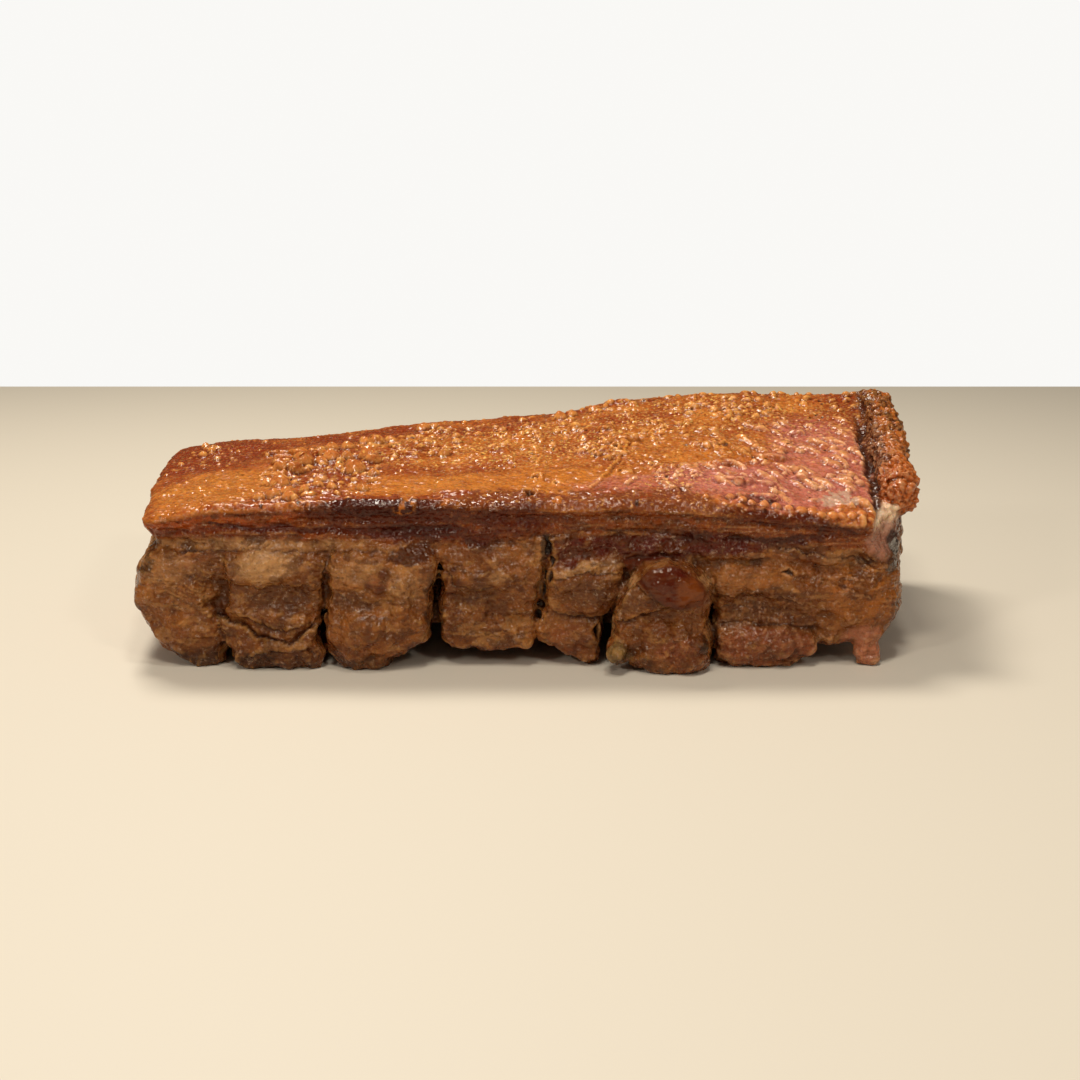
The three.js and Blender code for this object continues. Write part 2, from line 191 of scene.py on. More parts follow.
def wobble(points, size, seed=0):
    """Smooth noise from about -1 to 1, with lumps of that size; size may be one number for each axis."""
    q = points / np.asarray(size, dtype=float)
    base = np.floor(q)
    f = q - base
    fade = f * f * f * (f * (f * 6 - 15) + 10)
    total = np.zeros(len(q))
    for dx in (0, 1):
        for dy in (0, 1):
            for dz in (0, 1):
                mixed = scramble((base[:, 0] + dx, base[:, 1] + dy, base[:, 2] + dz), seed)
                slope = (2 * share(mixed, 0) - 1) * (f[:, 0] - dx)
                slope += (2 * share(mixed, 1) - 1) * (f[:, 1] - dy)
                slope += (2 * share(mixed, 2) - 1) * (f[:, 2] - dz)
                weight = fade[:, 0] if dx else 1 - fade[:, 0]
                weight = weight * (fade[:, 1] if dy else 1 - fade[:, 1])
                weight = weight * (fade[:, 2] if dz else 1 - fade[:, 2])
                total += weight * slope
    return FULL_SWING * total


three_points = np.array([[0.3, 0.4, 0.5], [3.6, 2.2, 1.1], [7.5, 8.5, 9.5]])
print("noise at three points:", wobble(three_points, 2).round(2))

# %% Creases, blisters and soft spots
def creases(points, size, seed=0):
    """Ridged noise from 0 to 1: sharp valleys near 0, as between muscle bundles or on wrinkled skin."""
    return np.clip(np.abs(wobble(points, size, seed)) * 2.2, 0, 1)


def domes(x, y, spacing, radii, chance, seed, angle=0.0, stretch=1.0, steep=0.5):
    """Height of scattered round blisters over a plan, at most one for each cell of a jittered grid.
    chance(x, y) says how likely a blister is there. Blisters can be drawn out along an angle in degrees.
    A steep of 0.5 gives half balls, and 1 gives low lenses."""
    cos, sin = math.cos(math.radians(angle)), math.sin(math.radians(angle))
    u, v = (x * cos + y * sin) / stretch, y * cos - x * sin
    height = np.zeros_like(u)
    for i in (-1, 0, 1):
        for j in (-1, 0, 1):
            cell_u, cell_v = np.floor(u / spacing) + i, np.floor(v / spacing) + j
            mixed = scramble((cell_u, cell_v), seed)
            middle_u = (cell_u + 0.15 + 0.7 * share(mixed, 0)) * spacing
            middle_v = (cell_v + 0.15 + 0.7 * share(mixed, 1)) * spacing
            radius = radii[0] + (radii[1] - radii[0]) * share(mixed, 2)
            at_x = middle_u * stretch * cos - middle_v * sin
            at_y = middle_u * stretch * sin + middle_v * cos
            there = share(mixed, 3) < chance(at_x, at_y)
            nearness = np.clip(1 - ((u - middle_u) ** 2 + (v - middle_v) ** 2) / radius**2, 0, 1)
            lift = radius * (0.55 + 0.45 * share(mixed, 1))
            height = np.maximum(height, np.where(there, lift * nearness**steep, 0))
    return height


def rise(value, start, end):
    """0 before start, 1 after end, and smooth between; end may be the smaller one."""
    t = np.clip((value - start) / (end - start), 0, 1)
    return t * t * (3 - 2 * t)


def spot(u, v, middle, half, turn=0.0, edge=0.35):
    """1 inside an ellipse in a flat view and 0 outside it, with a soft edge."""
    cos, sin = math.cos(math.radians(turn)), math.sin(math.radians(turn))
    du, dv = u - middle[0], v - middle[1]
    away = np.hypot((du * cos + dv * sin) / half[0], (dv * cos - du * sin) / half[1])
    return 1 - rise(away, 1 - edge, 1 + edge)


def away_from(u, v, line):
    """Distance from a line of points in a flat view, and the side: 1 on its left, -1 on its right, and
    between them past its ends."""
    best = np.full(len(u), 1e9)
    which_side = np.zeros(len(u))
    for (u0, v0), (u1, v1) in zip(line, line[1:]):
        du, dv = u1 - u0, v1 - v0
        part_way = np.clip(((u - u0) * du + (v - v0) * dv) / (du * du + dv * dv), 0, 1)
        distance = np.hypot(u - u0 - part_way * du, v - v0 - part_way * dv)
        across = (du * (v - v0) - dv * (u - u0)) / math.hypot(du, dv)
        nearer = distance < best
        best = np.where(nearer, distance, best)
        which_side = np.where(nearer, across / np.maximum(distance, 1e-6), which_side)
    return best, np.clip(which_side, -1, 1)


outwards = spot(np.array([0.0, 0.9, 1.2, 1.5]), np.zeros(4), (0, 0), (1, 1))
print("a soft spot, from its middle outwards:", outwards.round(2))

# %% [markdown]
# The roast is modelled from the solid itself. Its triangles are long and uneven, so a copy is merged and
# remeshed into even small squares, like clay over a frame. Subdividing would keep the long triangles, and
# fine relief needs even ones. Smoothing then takes away the solid's flat facets before any detail is
# added.

# %% Even squares out of the solid
def millimetres(mesh):
    """The mesh's vertices as rows of millimetres."""
    flat = np.empty(3 * len(mesh.vertices))
    mesh.vertices.foreach_get("co", flat)
    return flat.reshape(-1, 3) * MILLIMETRES


def outward(mesh):
    """The mesh's vertex normals."""
    flat = np.empty(3 * len(mesh.vertices))
    mesh.vertex_normals.foreach_get("vector", flat)
    return flat.reshape(-1, 3)


def move_to(mesh, points):
    """Puts the vertices at rows of millimetres, never outside the solid's box."""
    low, high = MILLIMETRES * np.array(low_corner), MILLIMETRES * np.array(high_corner)
    mesh.vertices.foreach_set("co", (np.clip(points, low, high) / MILLIMETRES).ravel())
    mesh.update()


def even_copy(source, name, cell, smoothing):
    """A copy of a mesh, remeshed into squares of that many millimetres and smoothed."""
    shape = bmesh.new()
    shape.from_mesh(source)
    bmesh.ops.remove_doubles(shape, verts=shape.verts, dist=1e-6)
    rough = bpy.data.meshes.new(name)
    shape.to_mesh(rough)
    shape.free()
    holder = bpy.data.objects.new(name, rough)
    bpy.context.scene.collection.objects.link(holder)
    remesh = holder.modifiers.new("even squares", "REMESH")
    remesh.mode = "VOXEL"
    remesh.voxel_size = cell / MILLIMETRES
    smooth = holder.modifiers.new("soft corners", "SMOOTH")
    smooth.factor = 0.5
    smooth.iterations = smoothing
    evaluated = holder.evaluated_get(bpy.context.evaluated_depsgraph_get())
    finished = bpy.data.meshes.new_from_object(evaluated)
    bpy.data.objects.remove(holder)
    bpy.data.meshes.remove(rough)
    print(name, "squares:", len(finished.polygons))
    return finished


# %% The roast's even mesh
CELL = 0.62
SMOOTHED_OVER = 9
roast_mesh = even_copy(belly.data, "roast", CELL, int(SMOOTHED_OVER / CELL))
points = millimetres(roast_mesh)
normals = outward(roast_mesh)
x, y, z = points.T
in_plan = np.column_stack([x, y, 0 * z])
print("vertices:", len(points))

# %% [markdown]
# Before the relief, each vertex learns which part of the roast it belongs to: the rind on top, its curled
# rim at the right end, the band of fat on the cut sides, or the meat below. Heights and places are read
# from the photograph against the solid. The borders are soft, so that no line is drawn where two parts
# meet.

# %% Rind, rim, fat and meat
def lip_height(at_x):
    """Height of the rind's lower edge along the cut face."""
    return np.interp(at_x, [-130, -90, -45, 55, 80, 95, 115], [47.5, 51.0, 53.0, 53.2, 51.0, 49.0, 47.0])


def fat_line(at_x):
    """Height where the fat ends and the meat begins, along the cut face."""
    heights = [45, 44.5, 43.5, 42.5, 45.5, 45.5, 43, 38]
    return np.interp(at_x, [-130, -100, -60, -20, 10, 60, 90, 125], heights)


def groove_x(at_y):
    """Where the rind ends and its curled rim begins, for a depth in plan."""
    return np.interp(at_y, [-60, -45, -25, 5, 25, 64], [115.5, 116.5, 117.5, 120.0, 123.0, 127.0])


upward = rise(normals[:, 2], 0.2, 0.6) * rise(z, 43, 47)
rim = rise(x - groove_x(y), 0.0, 2.5) * rise(z, 47, 51)
rind = upward * (1 - rim)
side = 1 - np.maximum(upward, rim)
wander = 1.6 * wobble(points, 9, 14) + 0.6 * wobble(points, 3, 15)
fat_band = side * rise(z + wander, fat_line(x) - 1.2, fat_line(x) + 1.2)
meat = side * (1 - rise(z + wander, fat_line(x) - 1.2, fat_line(x) + 1.2))
front = rise(-normals[:, 1], 0.1, 0.5) * rise(-y, 36, 46)
print("share of rind, fat and meat:", [round(float(m.mean()), 2) for m in (rind, fat_band, meat)])

# %% [markdown]
# Where the rind blisters, and how, changes over the slab: a cluster of large shiny bubbles near the left,
# a band of small golden ones across the middle and the back, a smooth glazed stretch in front of it, and
# long slanted wrinkles on the right. The largest bubbles are placed one by one.
# The small ones are scattered, with a chance that follows a soft spot in plan. One pattern for the whole
# rind would be quicker, and would look like a tile.

# %% Bubbles of the rind
# The largest bubbles, as X, Y and radius.
LARGE_BUBBLES = [
    (-80, -4, 4.0), (-74, -3, 2.7), (-71, 3, 3.2), (-66, 4, 3.0), (-67, 20, 2.7), (-73, 19, 2.8),
    (-60, -21, 4.0), (-55, -9, 3.0), (-81, -18, 3.3), (-86, -19, 2.6), (-71, -33, 2.0), (-53, -28, 2.3),
    (-58, 5, 3.7), (-84, -36, 3.7), (-88, -33, 2.3), (-84, -50, 2.7), (-80, -47, 2.4), (-78, -53, 2.6),
    (-88, -52, 2.1), (-74, -46, 2.2), (-70, -41, 1.8), (-65, -45, 2.2), (-55, -46, 2.1), (-30, 1, 2.7),
    (-57, 26, 3.7), (-62, 30, 2.3), (-52, 30, 2.4), (-41, 48, 2.7), (-37, 50, 1.8), (-76, 12, 2.2),
    (-63, -6, 2.1), (-66, -15, 1.8), (12, 47, 2.8), (17, 49, 2.0), (25, 51, 2.2), (29, 52, 1.5),
    (28, -1, 2.4), (31, -8, 2.0), (24, -15, 1.8), (89, -9, 1.9), (96, -8, 1.6), (108, -6, 1.8),
    (112, -35, 2.0), (114, -8, 1.9), (70, -43, 1.8), (63, -29, 1.5), (57, -29, 1.4), (76, -12, 1.4),
    (103, -30, 1.6), (110, -20, 1.5), (-125, 46, 1.8), (-121, 38, 1.8), (-116, 22, 1.5),
]

# Beads that hang over the rind's lower edge on the right, as X, Y, Z and radius.
EDGE_BEADS = [
    (66, -54, 56, 1.2), (70, -55, 55, 1.3), (73, -56, 54, 1.2), (77, -56, 54, 1.4),
    (81, -56, 53.5, 1.4), (85, -56.5, 53, 1.2), (89, -57, 52, 1.5), (92.5, -57, 52, 1.4),
    (95.5, -58, 51, 1.2), (99, -58, 51, 1.4), (102, -58, 51, 1.2), (105.5, -57.5, 51, 1.4),
    (109, -56, 51, 1.3), (58, -55, 56, 1.0), (49, -56, 56, 0.9), (-40, -57, 56, 1.3),
    (-37, -57, 56, 1.1), (10, -57, 57, 1.2),
]
print("bubbles placed by hand:", len(LARGE_BUBBLES), "and beads:", len(EDGE_BEADS))


# %% Where bubbles are likely
def near_spots(at_x, at_y, spots):
    """The strongest of several soft spots in a flat view: (middle, half, turn, strength)."""
    total = np.zeros(np.shape(at_x))
    for middle, half, turn, strength in spots:
        total = np.maximum(total, strength * spot(at_x, at_y, middle, half, turn, 0.45))
    return total


def middling_bubbles(at_x, at_y):
    """The chance of a bubble of middling size, at places in plan."""
    return near_spots(at_x, at_y, [
        ((-70, -18), (20, 40), 0, 0.4), ((-38, 26), (24, 24), 0, 0.3), ((40, 25), (76, 34), 0, 0.25),
        ((48, -36), (14, 12), 0, 0.45), ((84, 52), (56, 12), 0, 0.35), ((-118, 34), (16, 24), 0, 0.12),
        ((70, 36), (18, 12), 0, 0.7), ((28, -6), (10, 12), 0, 0.8), ((98, -8), (34, 50), 0, 0.15),
    ])


def small_bubbles(at_x, at_y):
    """The chance of a small bubble, which is low where the skin is glazed and smooth."""
    near = near_spots(at_x, at_y, [
        ((5, 10), (80, 34), 0, 1.0), ((66, 40), (58, 22), 0, 0.9), ((-70, -20), (24, 42), 0, 0.45),
        ((84, 20), (40, 30), 0, 0.5), ((96, -28), (24, 24), 0, 0.15), ((-118, 30), (20, 34), 0, 0.3),
        ((45, -38), (16, 14), 0, 0.9),
    ])
    smooth = near_spots(at_x, at_y, [((-10, -42), (50, 12), 4, 1.0), ((48, -4), (16, 14), 20, 0.6)])
    return np.maximum(near, 0.12) * (1 - 0.9 * smooth)


def long_blisters(at_x, at_y):
    """The chance of a blister that is drawn out into a wrinkle."""
    return near_spots(at_x, at_y, [((94, -14), (30, 46), 0, 0.95), ((62, -34), (18, 16), 0, 0.5)])


print("chance of a small bubble in the middle:", round(float(small_bubbles(0, 0)), 2))

# %% The bubbles' heights
def placed_domes(spots):
    """Height over the plan of round bubbles given as X, Y and radius."""
    total = np.zeros_like(x)
    for at_x, at_y, radius in spots:
        nearness = 1 - ((bent_x - at_x) ** 2 + (bent_y - at_y) ** 2) / radius**2
        total = np.maximum(total, radius * np.clip(nearness, 0, 1) ** 0.6)
    return total


bent_x = x + 0.9 * wobble(in_plan, 5, 11)
bent_y = y + 0.9 * wobble(in_plan, 5, 12)
clumps = rise(wobble(in_plan, (7, 15, 7), 21), -0.15, 0.45)
large = placed_domes(LARGE_BUBBLES)
uneven = 0.75 + 0.5 * rise(wobble(in_plan, 6, 20), -0.4, 0.4)
middling = domes(bent_x, bent_y, 3.6, (0.9, 2.1), middling_bubbles, 4, steep=0.7)
small = domes(bent_x, bent_y, 1.7, (0.45, 0.95), small_bubbles, 5, steep=0.7) * (0.2 + 0.8 * clumps)
long = domes(bent_x, bent_y, 4.7, (1.3, 2.2), long_blisters, 6, angle=-57, stretch=3.3, steep=0.9)
bubbles = np.maximum.reduce([1.05 * large, 0.9 * middling * uneven, small * uneven, 0.8 * long * uneven])
bubbles = bubbles + 0.3 * np.minimum(small, np.maximum(middling, large))
print("tallest bubble, mm:", round(float(bubbles.max()), 1))

# %% [markdown]
# Bubbles alone leave the skin between them too even. It sags between the ribs, it is wrinkled like
# leather, and a few places are burnt through. One fold runs across the middle, where the skin tore and
# curled: its line is a narrow groove with a raised lip, and the wrinkles fan out to the right of it.

# %% Pits and lines on the rind
# Burnt pits with a raised rim, as X, Y and radius.
BURNT_PITS = [
    (3, -38, 1.3), (1, -53, 2.2), (10, -43, 0.9), (24, -28, 0.6), (30, 0, 0.9), (31, -9, 0.9),
    (9, -2, 1.3), (-3, 34, 0.8), (50, 17, 0.7), (56, 13, 0.7), (45, 22, 0.6), (-39, -10, 0.7),
    (-16, 22, 0.7), (-7, -12, 0.8),
]
FOLD_LINE = [(22, -48), (26, -38), (30, -26), (34, -13), (36, -3)]
SCRATCH_LINE = [(-31, -8), (-27, -22), (-24, -38), (-21, -50)]
print("burnt pits:", len(BURNT_PITS))

# %% Heights of the pits, the fold and the skin
ripple = wobble(points, 1.3, 24)
pits = np.zeros_like(x)
pit_rims = np.zeros_like(x)
for at_x, at_y, radius in BURNT_PITS:
    away = np.hypot(bent_x + 0.35 * ripple - at_x, (bent_y + 0.6 * ripple - at_y) / 1.6)
    pits = np.maximum(pits, 1 - rise(away, 0.4 * radius, radius))
    ring = np.exp(-(((away - 1.2 * radius) / (0.5 * radius)) ** 2))
    pit_rims = np.maximum(pit_rims, ring * min(radius, 1.2))
pit_rims *= 0.3 + 0.7 * rise(wobble(points, 1.6, 23), -0.2, 0.3)
burnt_specks = domes(x, y, 3.8, (0.4, 0.85), lambda a, b: 0.12 + 0.5 * small_bubbles(a, b), 7)
burnt_specks = rise(burnt_specks, 0.1, 0.4) * rise(wobble(in_plan, 14, 22), -0.2, 0.3)
fold_away, fold_side = away_from(bent_x, bent_y, FOLD_LINE)
fold = np.exp(-((fold_away / 0.9) ** 2))
fold_lip = np.exp(-(((fold_away - 0.8) / 0.5) ** 2)) * np.clip(fold_side, 0, 1)
fan_angle = np.degrees(np.arctan2(y + 14, x - 34))
fan = np.sin(fan_angle * 0.55) * near_spots(x, y, [((38, -34), (11, 15), 0, 1.0)])
scratch = np.exp(-((away_from(bent_x, bent_y, SCRATCH_LINE)[0] / 0.45) ** 2))

swell = 0.9 * wobble(in_plan, 26, 31) + 0.4 * wobble(in_plan, 9, 32) + 0.2 * wobble(points, 3.2, 33)
leather = 0.2 * creases(points, 2.4, 34) + 0.16 * wobble(points, 1.5, 35)
edge_zone = rise(-y, 44, 50) * (1 - rise(z, lip_height(x) + 3.2, lip_height(x) + 6.5)) * rise(x, -34, -14)
edge_zone *= 1 - rise(x, 92, 108)
skin_out = swell + leather + bubbles * (1 - 0.65 * edge_zone)
skin_out += 0.9 * pit_rims - 1.6 * pits - 0.3 * burnt_specks
crust_place = spot(bent_x, bent_y, (103, -49), (7.5, 5), 0, 0.5)
skin_out += crust_place * (0.5 * np.abs(wobble(points, 1.6, 29)) + 0.5 * wobble(points, 3.4, 30))
skin_out += 0.45 * fold_lip - 0.5 * fold + 0.18 * fan + 0.1 * scratch
print("rind relief, mm:", round(float(skin_out.min()), 1), "to", round(float(skin_out.max()), 1))

# %% [markdown]
# The curled rim is a dark sponge of burst bubbles, drawn out along the roll, and a deep groove parts it
# from the rind. The fat below the rind shows on the cut face as level fibres. Its lower edge on the right
# carries a row of beads, where the skin blistered over the corner.

# %% The rim and its groove
rolled = points @ np.array([[1, 0, 0], [0, 0.6, -0.5], [0, 0.5, 1.0]])
torn_fibres = wobble(rolled, (1.6, 6.0, 1.4), 41)
sponge = creases(points, (2.6, 2.2, 2.6), 42)
burst = domes(y + 0.6 * z, z - 0.3 * x, 2.7, (0.7, 1.5), lambda a, b: 0.6 + 0 * a, 9)
rim_out = 0.7 * torn_fibres - 0.9 * (1 - sponge) + 1.3 * wobble(points, 8, 44)
rim_out += 0.7 * burst * rise(x, 116, 126)
groove_wander = 1.1 * wobble(points, 6, 45) + 0.5 * wobble(points, 2.2, 46)
groove = np.exp(-(((x - groove_x(y) + 0.4 + groove_wander) / 1.5) ** 2)) * upward
groove *= 1 - 0.85 * rise(y, 12, 38)
print("rim relief, mm:", round(float(rim_out.min()), 1), "to", round(float(rim_out.max()), 1))

# %% Beads and fringe along the rind's lower edge
beads = np.zeros_like(x)
for at_x, at_y, at_z, radius in EDGE_BEADS:
    nearness = 1 - ((x - at_x) ** 2 + (y - at_y) ** 2 + (z - at_z) ** 2) / (1.25 * radius) ** 2
    beads = np.maximum(beads, radius * np.clip(nearness, 0, 1) ** 0.5)
corner = np.clip(2 * np.clip(-normals[:, 1], 0, 1) * normals[:, 2], 0, 1) ** 1.5
corner *= rise(z, lip_height(x) - 4, lip_height(x))
fringe = np.exp(-(((z - lip_height(x) - 1.5) / 1.6) ** 2)) * front
beaded = rise(x, 45, 62)
fringe_out = fringe * (0.25 + 0.35 * beaded) * wobble(points, 1.7, 55)
fringe_out += fringe * (0.3 * (1 - beaded) * wobble(points, 1.1, 50) + 0.35 * wobble(points, 4, 49))
print("vertices on beads:", int(np.count_nonzero(beads)))

# %% The fat's fibres and its dark crack
fibres = wobble(points, (16, 16, 1.3), 51) + 0.5 * wobble(points, (6, 6, 0.9), 52)
fat_out = 0.42 * fibres + 0.5 * wobble(points, (10, 10, 5), 53) + 0.14 * wobble(points, 1.6, 54)
CRACK_LINE = [(-103, 49), (-97, 48.8), (-91, 47.5), (-80, 47.5), (-67, 46.8), (-40, 46.6), (-24, 47.5)]
crack_away = away_from(x, z + 0.8 * wander, CRACK_LINE)[0]
crack = np.exp(-((crack_away / (0.7 + 0.7 * rise(x, -90, -40))) ** 2)) * front
fat_out = fat_out - 0.7 * crack
print("fat relief, mm:", round(float(fat_out.min()), 1), "to", round(float(fat_out.max()), 1))

# %% [markdown]
# The cut face is a landscape of its own: eight fingers of rib meat with dark clefts between them, thin
# membranes that lie over each other like folded paper, a glazed oval of lean and a few burnt holes. The
# solid already has the fingers. The folds are drawn as lines in front view: a sharp valley along the line
# and a raised edge above or below it, which fades out within a few millimetres.

# %% Folds of the cut face
# Each fold: its line in X and Z, the valley's width and depth, and how far the meat stands out over and
# under the line.
FOLDS = [
    ([(-102, 17), (-95, 15.5), (-88, 11.5), (-77, 10), (-70, 14.5)], 0.9, 1.3, -1.6, 0.8),
    ([(-93, 4), (-86, 6), (-76, 8.3), (-70, 6)], 0.7, 0.8, 0.5, -0.3),
    ([(-98, 29.5), (-86, 28.5), (-72, 29.5)], 1.4, 0.35, 0.6, 0.0),
    ([(-113, 40.2), (-95, 40.4), (-80, 40.6), (-66, 40)], 0.6, 0.5, 0.6, 0.1),
    ([(-64, 40.5), (-52, 41), (-44, 40.2)], 0.6, 0.6, 0.4, 0.1),
    ([(-100.6, 39), (-101.9, 24), (-101, 6)], 2.3, 2.3, 0.5, 0.4),
    ([(-65.6, 38), (-66.6, 28), (-67, 18)], 1.1, 0.9, 0.0, 0.3),
    ([(-61, 26.5), (-52, 23.5), (-45, 25), (-38, 22)], 1.6, 0.4, 0.4, 0.0),
    ([(-47, 33), (-41, 30), (-37, 26), (-36, 16)], 1.0, -0.9, 0.0, 0.0),
    ([(-28, 12.4), (-16, 11.6), (-4, 12.8)], 1.2, 0.3, -0.2, 0.4),
    ([(-27, 33), (-24, 29.5), (-17, 27.4), (-11, 28.6)], 1.0, 0.7, 0.7, 0.0),
    ([(-116, 24), (-108, 21), (-103, 22)], 1.3, 0.5, 0.3, 0.0),
    ([(-94, 18.5), (-88, 15.6), (-80, 14), (-74, 15.4)], 1.1, 0.6, 0.9, 0.0),
    ([(64, 20.4), (74, 21.4), (84, 20)], 0.8, 0.4, 0.4, 0.0),
    ([(-15, 33), (-10, 34.2), (-5, 31)], 0.6, -0.7, 0.0, 0.0),
    ([(-16, 31), (-10, 32), (-6, 29)], 0.6, 0.5, 0.0, 0.0),
    ([(-24, 24.6), (-18, 23.8), (-12, 25)], 1.5, 0.4, 0.5, 0.0),
    ([(9, 32.6), (18, 34.2), (30, 35)], 0.6, -0.8, 0.0, 0.0),
    ([(9, 30.8), (20, 32.6), (30, 33.2), (38, 28.5), (44, 25)], 0.6, 0.7, 0.9, 0.0),
    ([(9, 19.5), (20, 17.2), (25, 17.6), (37, 19.8), (45, 23.2), (51, 24.6)], 0.9, 1.5, 1.3, 0.0),
    ([(30, 36.2), (37, 38), (46, 38.4), (54.5, 35.4), (57.8, 30.4), (56.4, 26), (49.4, 24), (43.5, 25.4),
      (37, 31), (31, 34.2)], 0.8, 1.1, 0.0, 0.0),
    ([(60, 35.6), (69, 35.9), (78, 36.6)], 0.8, 0.9, 0.3, 0.6),
    ([(59, 25), (72, 24.2), (84, 24.8), (90, 22)], 0.9, 0.6, 0.7, 0.0),
    ([(61, 15.2), (72, 15.6), (86, 14.4), (94, 13)], 0.8, 1.2, 0.3, 0.9),
    ([(82, 41), (95, 38.7), (107, 36.7), (116, 34.8), (121, 35.2)], 0.8, 1.0, 0.0, 0.7),
    ([(-10, 43.5), (10, 45.5), (22, 47.3), (40, 46.6), (52, 44.6)], 0.7, 0.8, 0.2, 0.0),
    ([(56, 44.6), (73, 43.8), (84, 43.4), (94, 43.9)], 0.7, 1.0, 0.3, 0.3),
    ([(88, 31), (100, 29), (112, 24)], 0.8, 0.4, 0.0, 0.4),
    ([(36, 15), (44, 12.5), (52, 14)], 1.2, 0.3, 0.4, 0.0),
]

print("folds:", len(FOLDS))

# %% Bulges, knots and holes of the cut face
# Broad swellings and hollows of the meat: middle in X and Z, half sizes, turn and height.
BULGES = [
    ((-85.5, 34.6), (14, 5.5), 0, 1.5), ((-80, 24.5), (11, 4), 0, -1.0), ((-84, 17.8), (14, 2.6), -6, 1.1),
    ((-40.5, 22), (2.8, 9), 0, 1.2), ((-54, 14), (8, 5), 0, 0.8), ((-17.5, 29.4), (10, 3), 0, 1.3),
    ((-18, 25.4), (9, 2.2), 0, -0.9), ((22, 25), (15, 7), -8, 0.7), ((70, 28), (11, 4), 0, 0.7),
    ((78, 7.5), (16, 6), 0, 1.1), ((100, 24), (13, 8), 0, 0.8), ((-116, 28), (11, 10), 0, 0.7),
    ((-112, 12), (9, 6), 0, 0.6), ((24, 9.5), (8, 4), -30, 0.8), ((-58, 38), (7, 2), 0, 0.5),
]

# Small dark red knots in the meat: X, Z and radius.
NODULES = [
    (-46.9, 33.5, 1.9), (-47.6, 28.2, 2.3), (-51.5, 29.6, 1.5), (-25.5, 25.6, 1.8), (-22.4, 30.2, 1.4),
    (-24.6, 34, 1.5),
]

# Holes and gaps: X, Z, half width, half height, turn and depth.
HOLES = [
    (6.6, 41.4, 1.2, 3.4, 8, 1.7), (7.6, 36.4, 0.9, 1.7, -10, 1.5), (7.4, 31.4, 1.2, 2.0, 0, 1.7),
    (5.6, 26.0, 1.0, 2.2, 0, 1.2), (4.6, 20.7, 1.3, 1.8, 0, 1.4), (3.6, 16.9, 1.1, 1.2, 0, 1.6),
    (85.3, 32.8, 1.7, 0.6, -35, 1.4), (-28.8, 34.3, 1.0, 1.0, 0, 1.8), (-29.5, 30.8, 1.2, 1.0, 0, 1.8),
    (-67.4, 17.4, 2.0, 1.3, 20, 2.8), (25.0, 12.2, 3.0, 2.4, 50, 3.0), (-110, 40, 4.0, 0.7, 0, 0.8),
    (-66, 33.6, 0.8, 1.2, 0, 0.8),
]
print("bulges, nodules, holes:", [len(shapes) for shapes in (BULGES, NODULES, HOLES)])

# %% Fibres and lumps of the meat
near_front = rise(-y, 44, 50) * front
bent = points + 1.1 * np.column_stack([wobble(points, 5, 61), 0 * x, wobble(points, 5, 62)])
bent += 0.5 * np.column_stack([wobble(points, 1.8, 57), 0 * x, wobble(points, 1.8, 58)])
oval = spot(bent[:, 0], bent[:, 2], (44.8, 31.4), (14.6, 5.8), -24, 0.14) * near_front
slant = 0.9 * wobble(points, 30, 60)
slanted = np.column_stack([x + slant * z, y, z - slant * x])
streaks = wobble(slanted, (7.5, 7.5, 1.6), 63)
bundles = creases(slanted, (11, 11, 5.5), 56)
pebbles = wobble(points, 1.5, 65)
rough_places = rise(wobble(points, 12, 69), -0.35, 0.4)
fibrous = rise(wobble(points, 16, 74), -0.1, 0.5)
meat_out = 1.1 * wobble(points, 11, 66) + 0.95 * wobble(points, (5.5, 5.5, 4.2), 67)
meat_out += 0.24 * wobble(points, 2.7, 75)
relief = 0.2 * streaks * fibrous - 0.45 * (1 - bundles) * rough_places
relief += (0.05 + 0.1 * rough_places) * pebbles
meat_out += (1 - 0.85 * oval) * relief
meat_out += (1 - rise(z, 4, 15)) * (1.3 * wobble(points, 5.5, 47) + 0.5 * wobble(points, 2.4, 48))
meat_out += oval * (1.2 + 0.5 * wobble(points, (5, 5, 1.8), 68))
print("meat relief, mm:", round(float(meat_out.min()), 1), "to", round(float(meat_out.max()), 1))

# %% Bulges, folds and holes on the cut face
bent_face_x, bent_face_z = bent[:, 0], bent[:, 2]
for middle, half, turn, rises in BULGES:
    meat_out += rises * spot(bent_face_x, bent_face_z, middle, half, turn, 0.6) * near_front
nodules = np.zeros_like(x)
for at_x, at_z, radius in NODULES:
    knot = spot(bent_face_x, bent_face_z, (at_x, at_z), (radius, 0.75 * radius), 0, 0.4)
    nodules = np.maximum(nodules, knot)
nodules *= near_front
meat_out += 0.7 * nodules

valley = np.zeros_like(x)
uneven_depth = 0.35 + 0.65 * rise(wobble(points, 9, 70), -0.35, 0.3)
uneven_width = 0.75 + 0.5 * rise(wobble(points, 7, 59), -0.4, 0.4)
for line, width, depth, above, below in FOLDS:
    away, line_side = away_from(bent_face_x, bent_face_z, line)
    dip = np.exp(-((away / (width * uneven_width)) ** 2)) * uneven_depth
    dip = 0.7 * dip + 0.3 * np.exp(-((away / (2.6 * width)) ** 2)) * uneven_depth
    lift = above * np.clip(line_side, 0, 1) + below * np.clip(-line_side, 0, 1)
    lift *= np.exp(-away / 3.2)
    meat_out += near_front * (lift - depth * dip)
    fat_out += near_front * (lift - depth * dip)
    # The fold valleys are painted darker later: painted shade.
    valley = np.maximum(valley, dip * np.clip(depth, 0, 1) * near_front)
hole = np.zeros_like(x)
for at_x, at_z, half_x, half_z, turn, depth in HOLES:
    there = spot(bent_face_x, bent_face_z, (at_x, at_z), (half_x, half_z), turn, 0.45) * near_front
    meat_out -= depth * there
    # Holes and gaps are painted near black later: painted shade.
    hole = np.maximum(hole, there * min(1.0, depth / 2))
print("share of vertices in valleys and holes:", [round(float((m > 0.5).mean()), 3) for m in (valley, hole)])

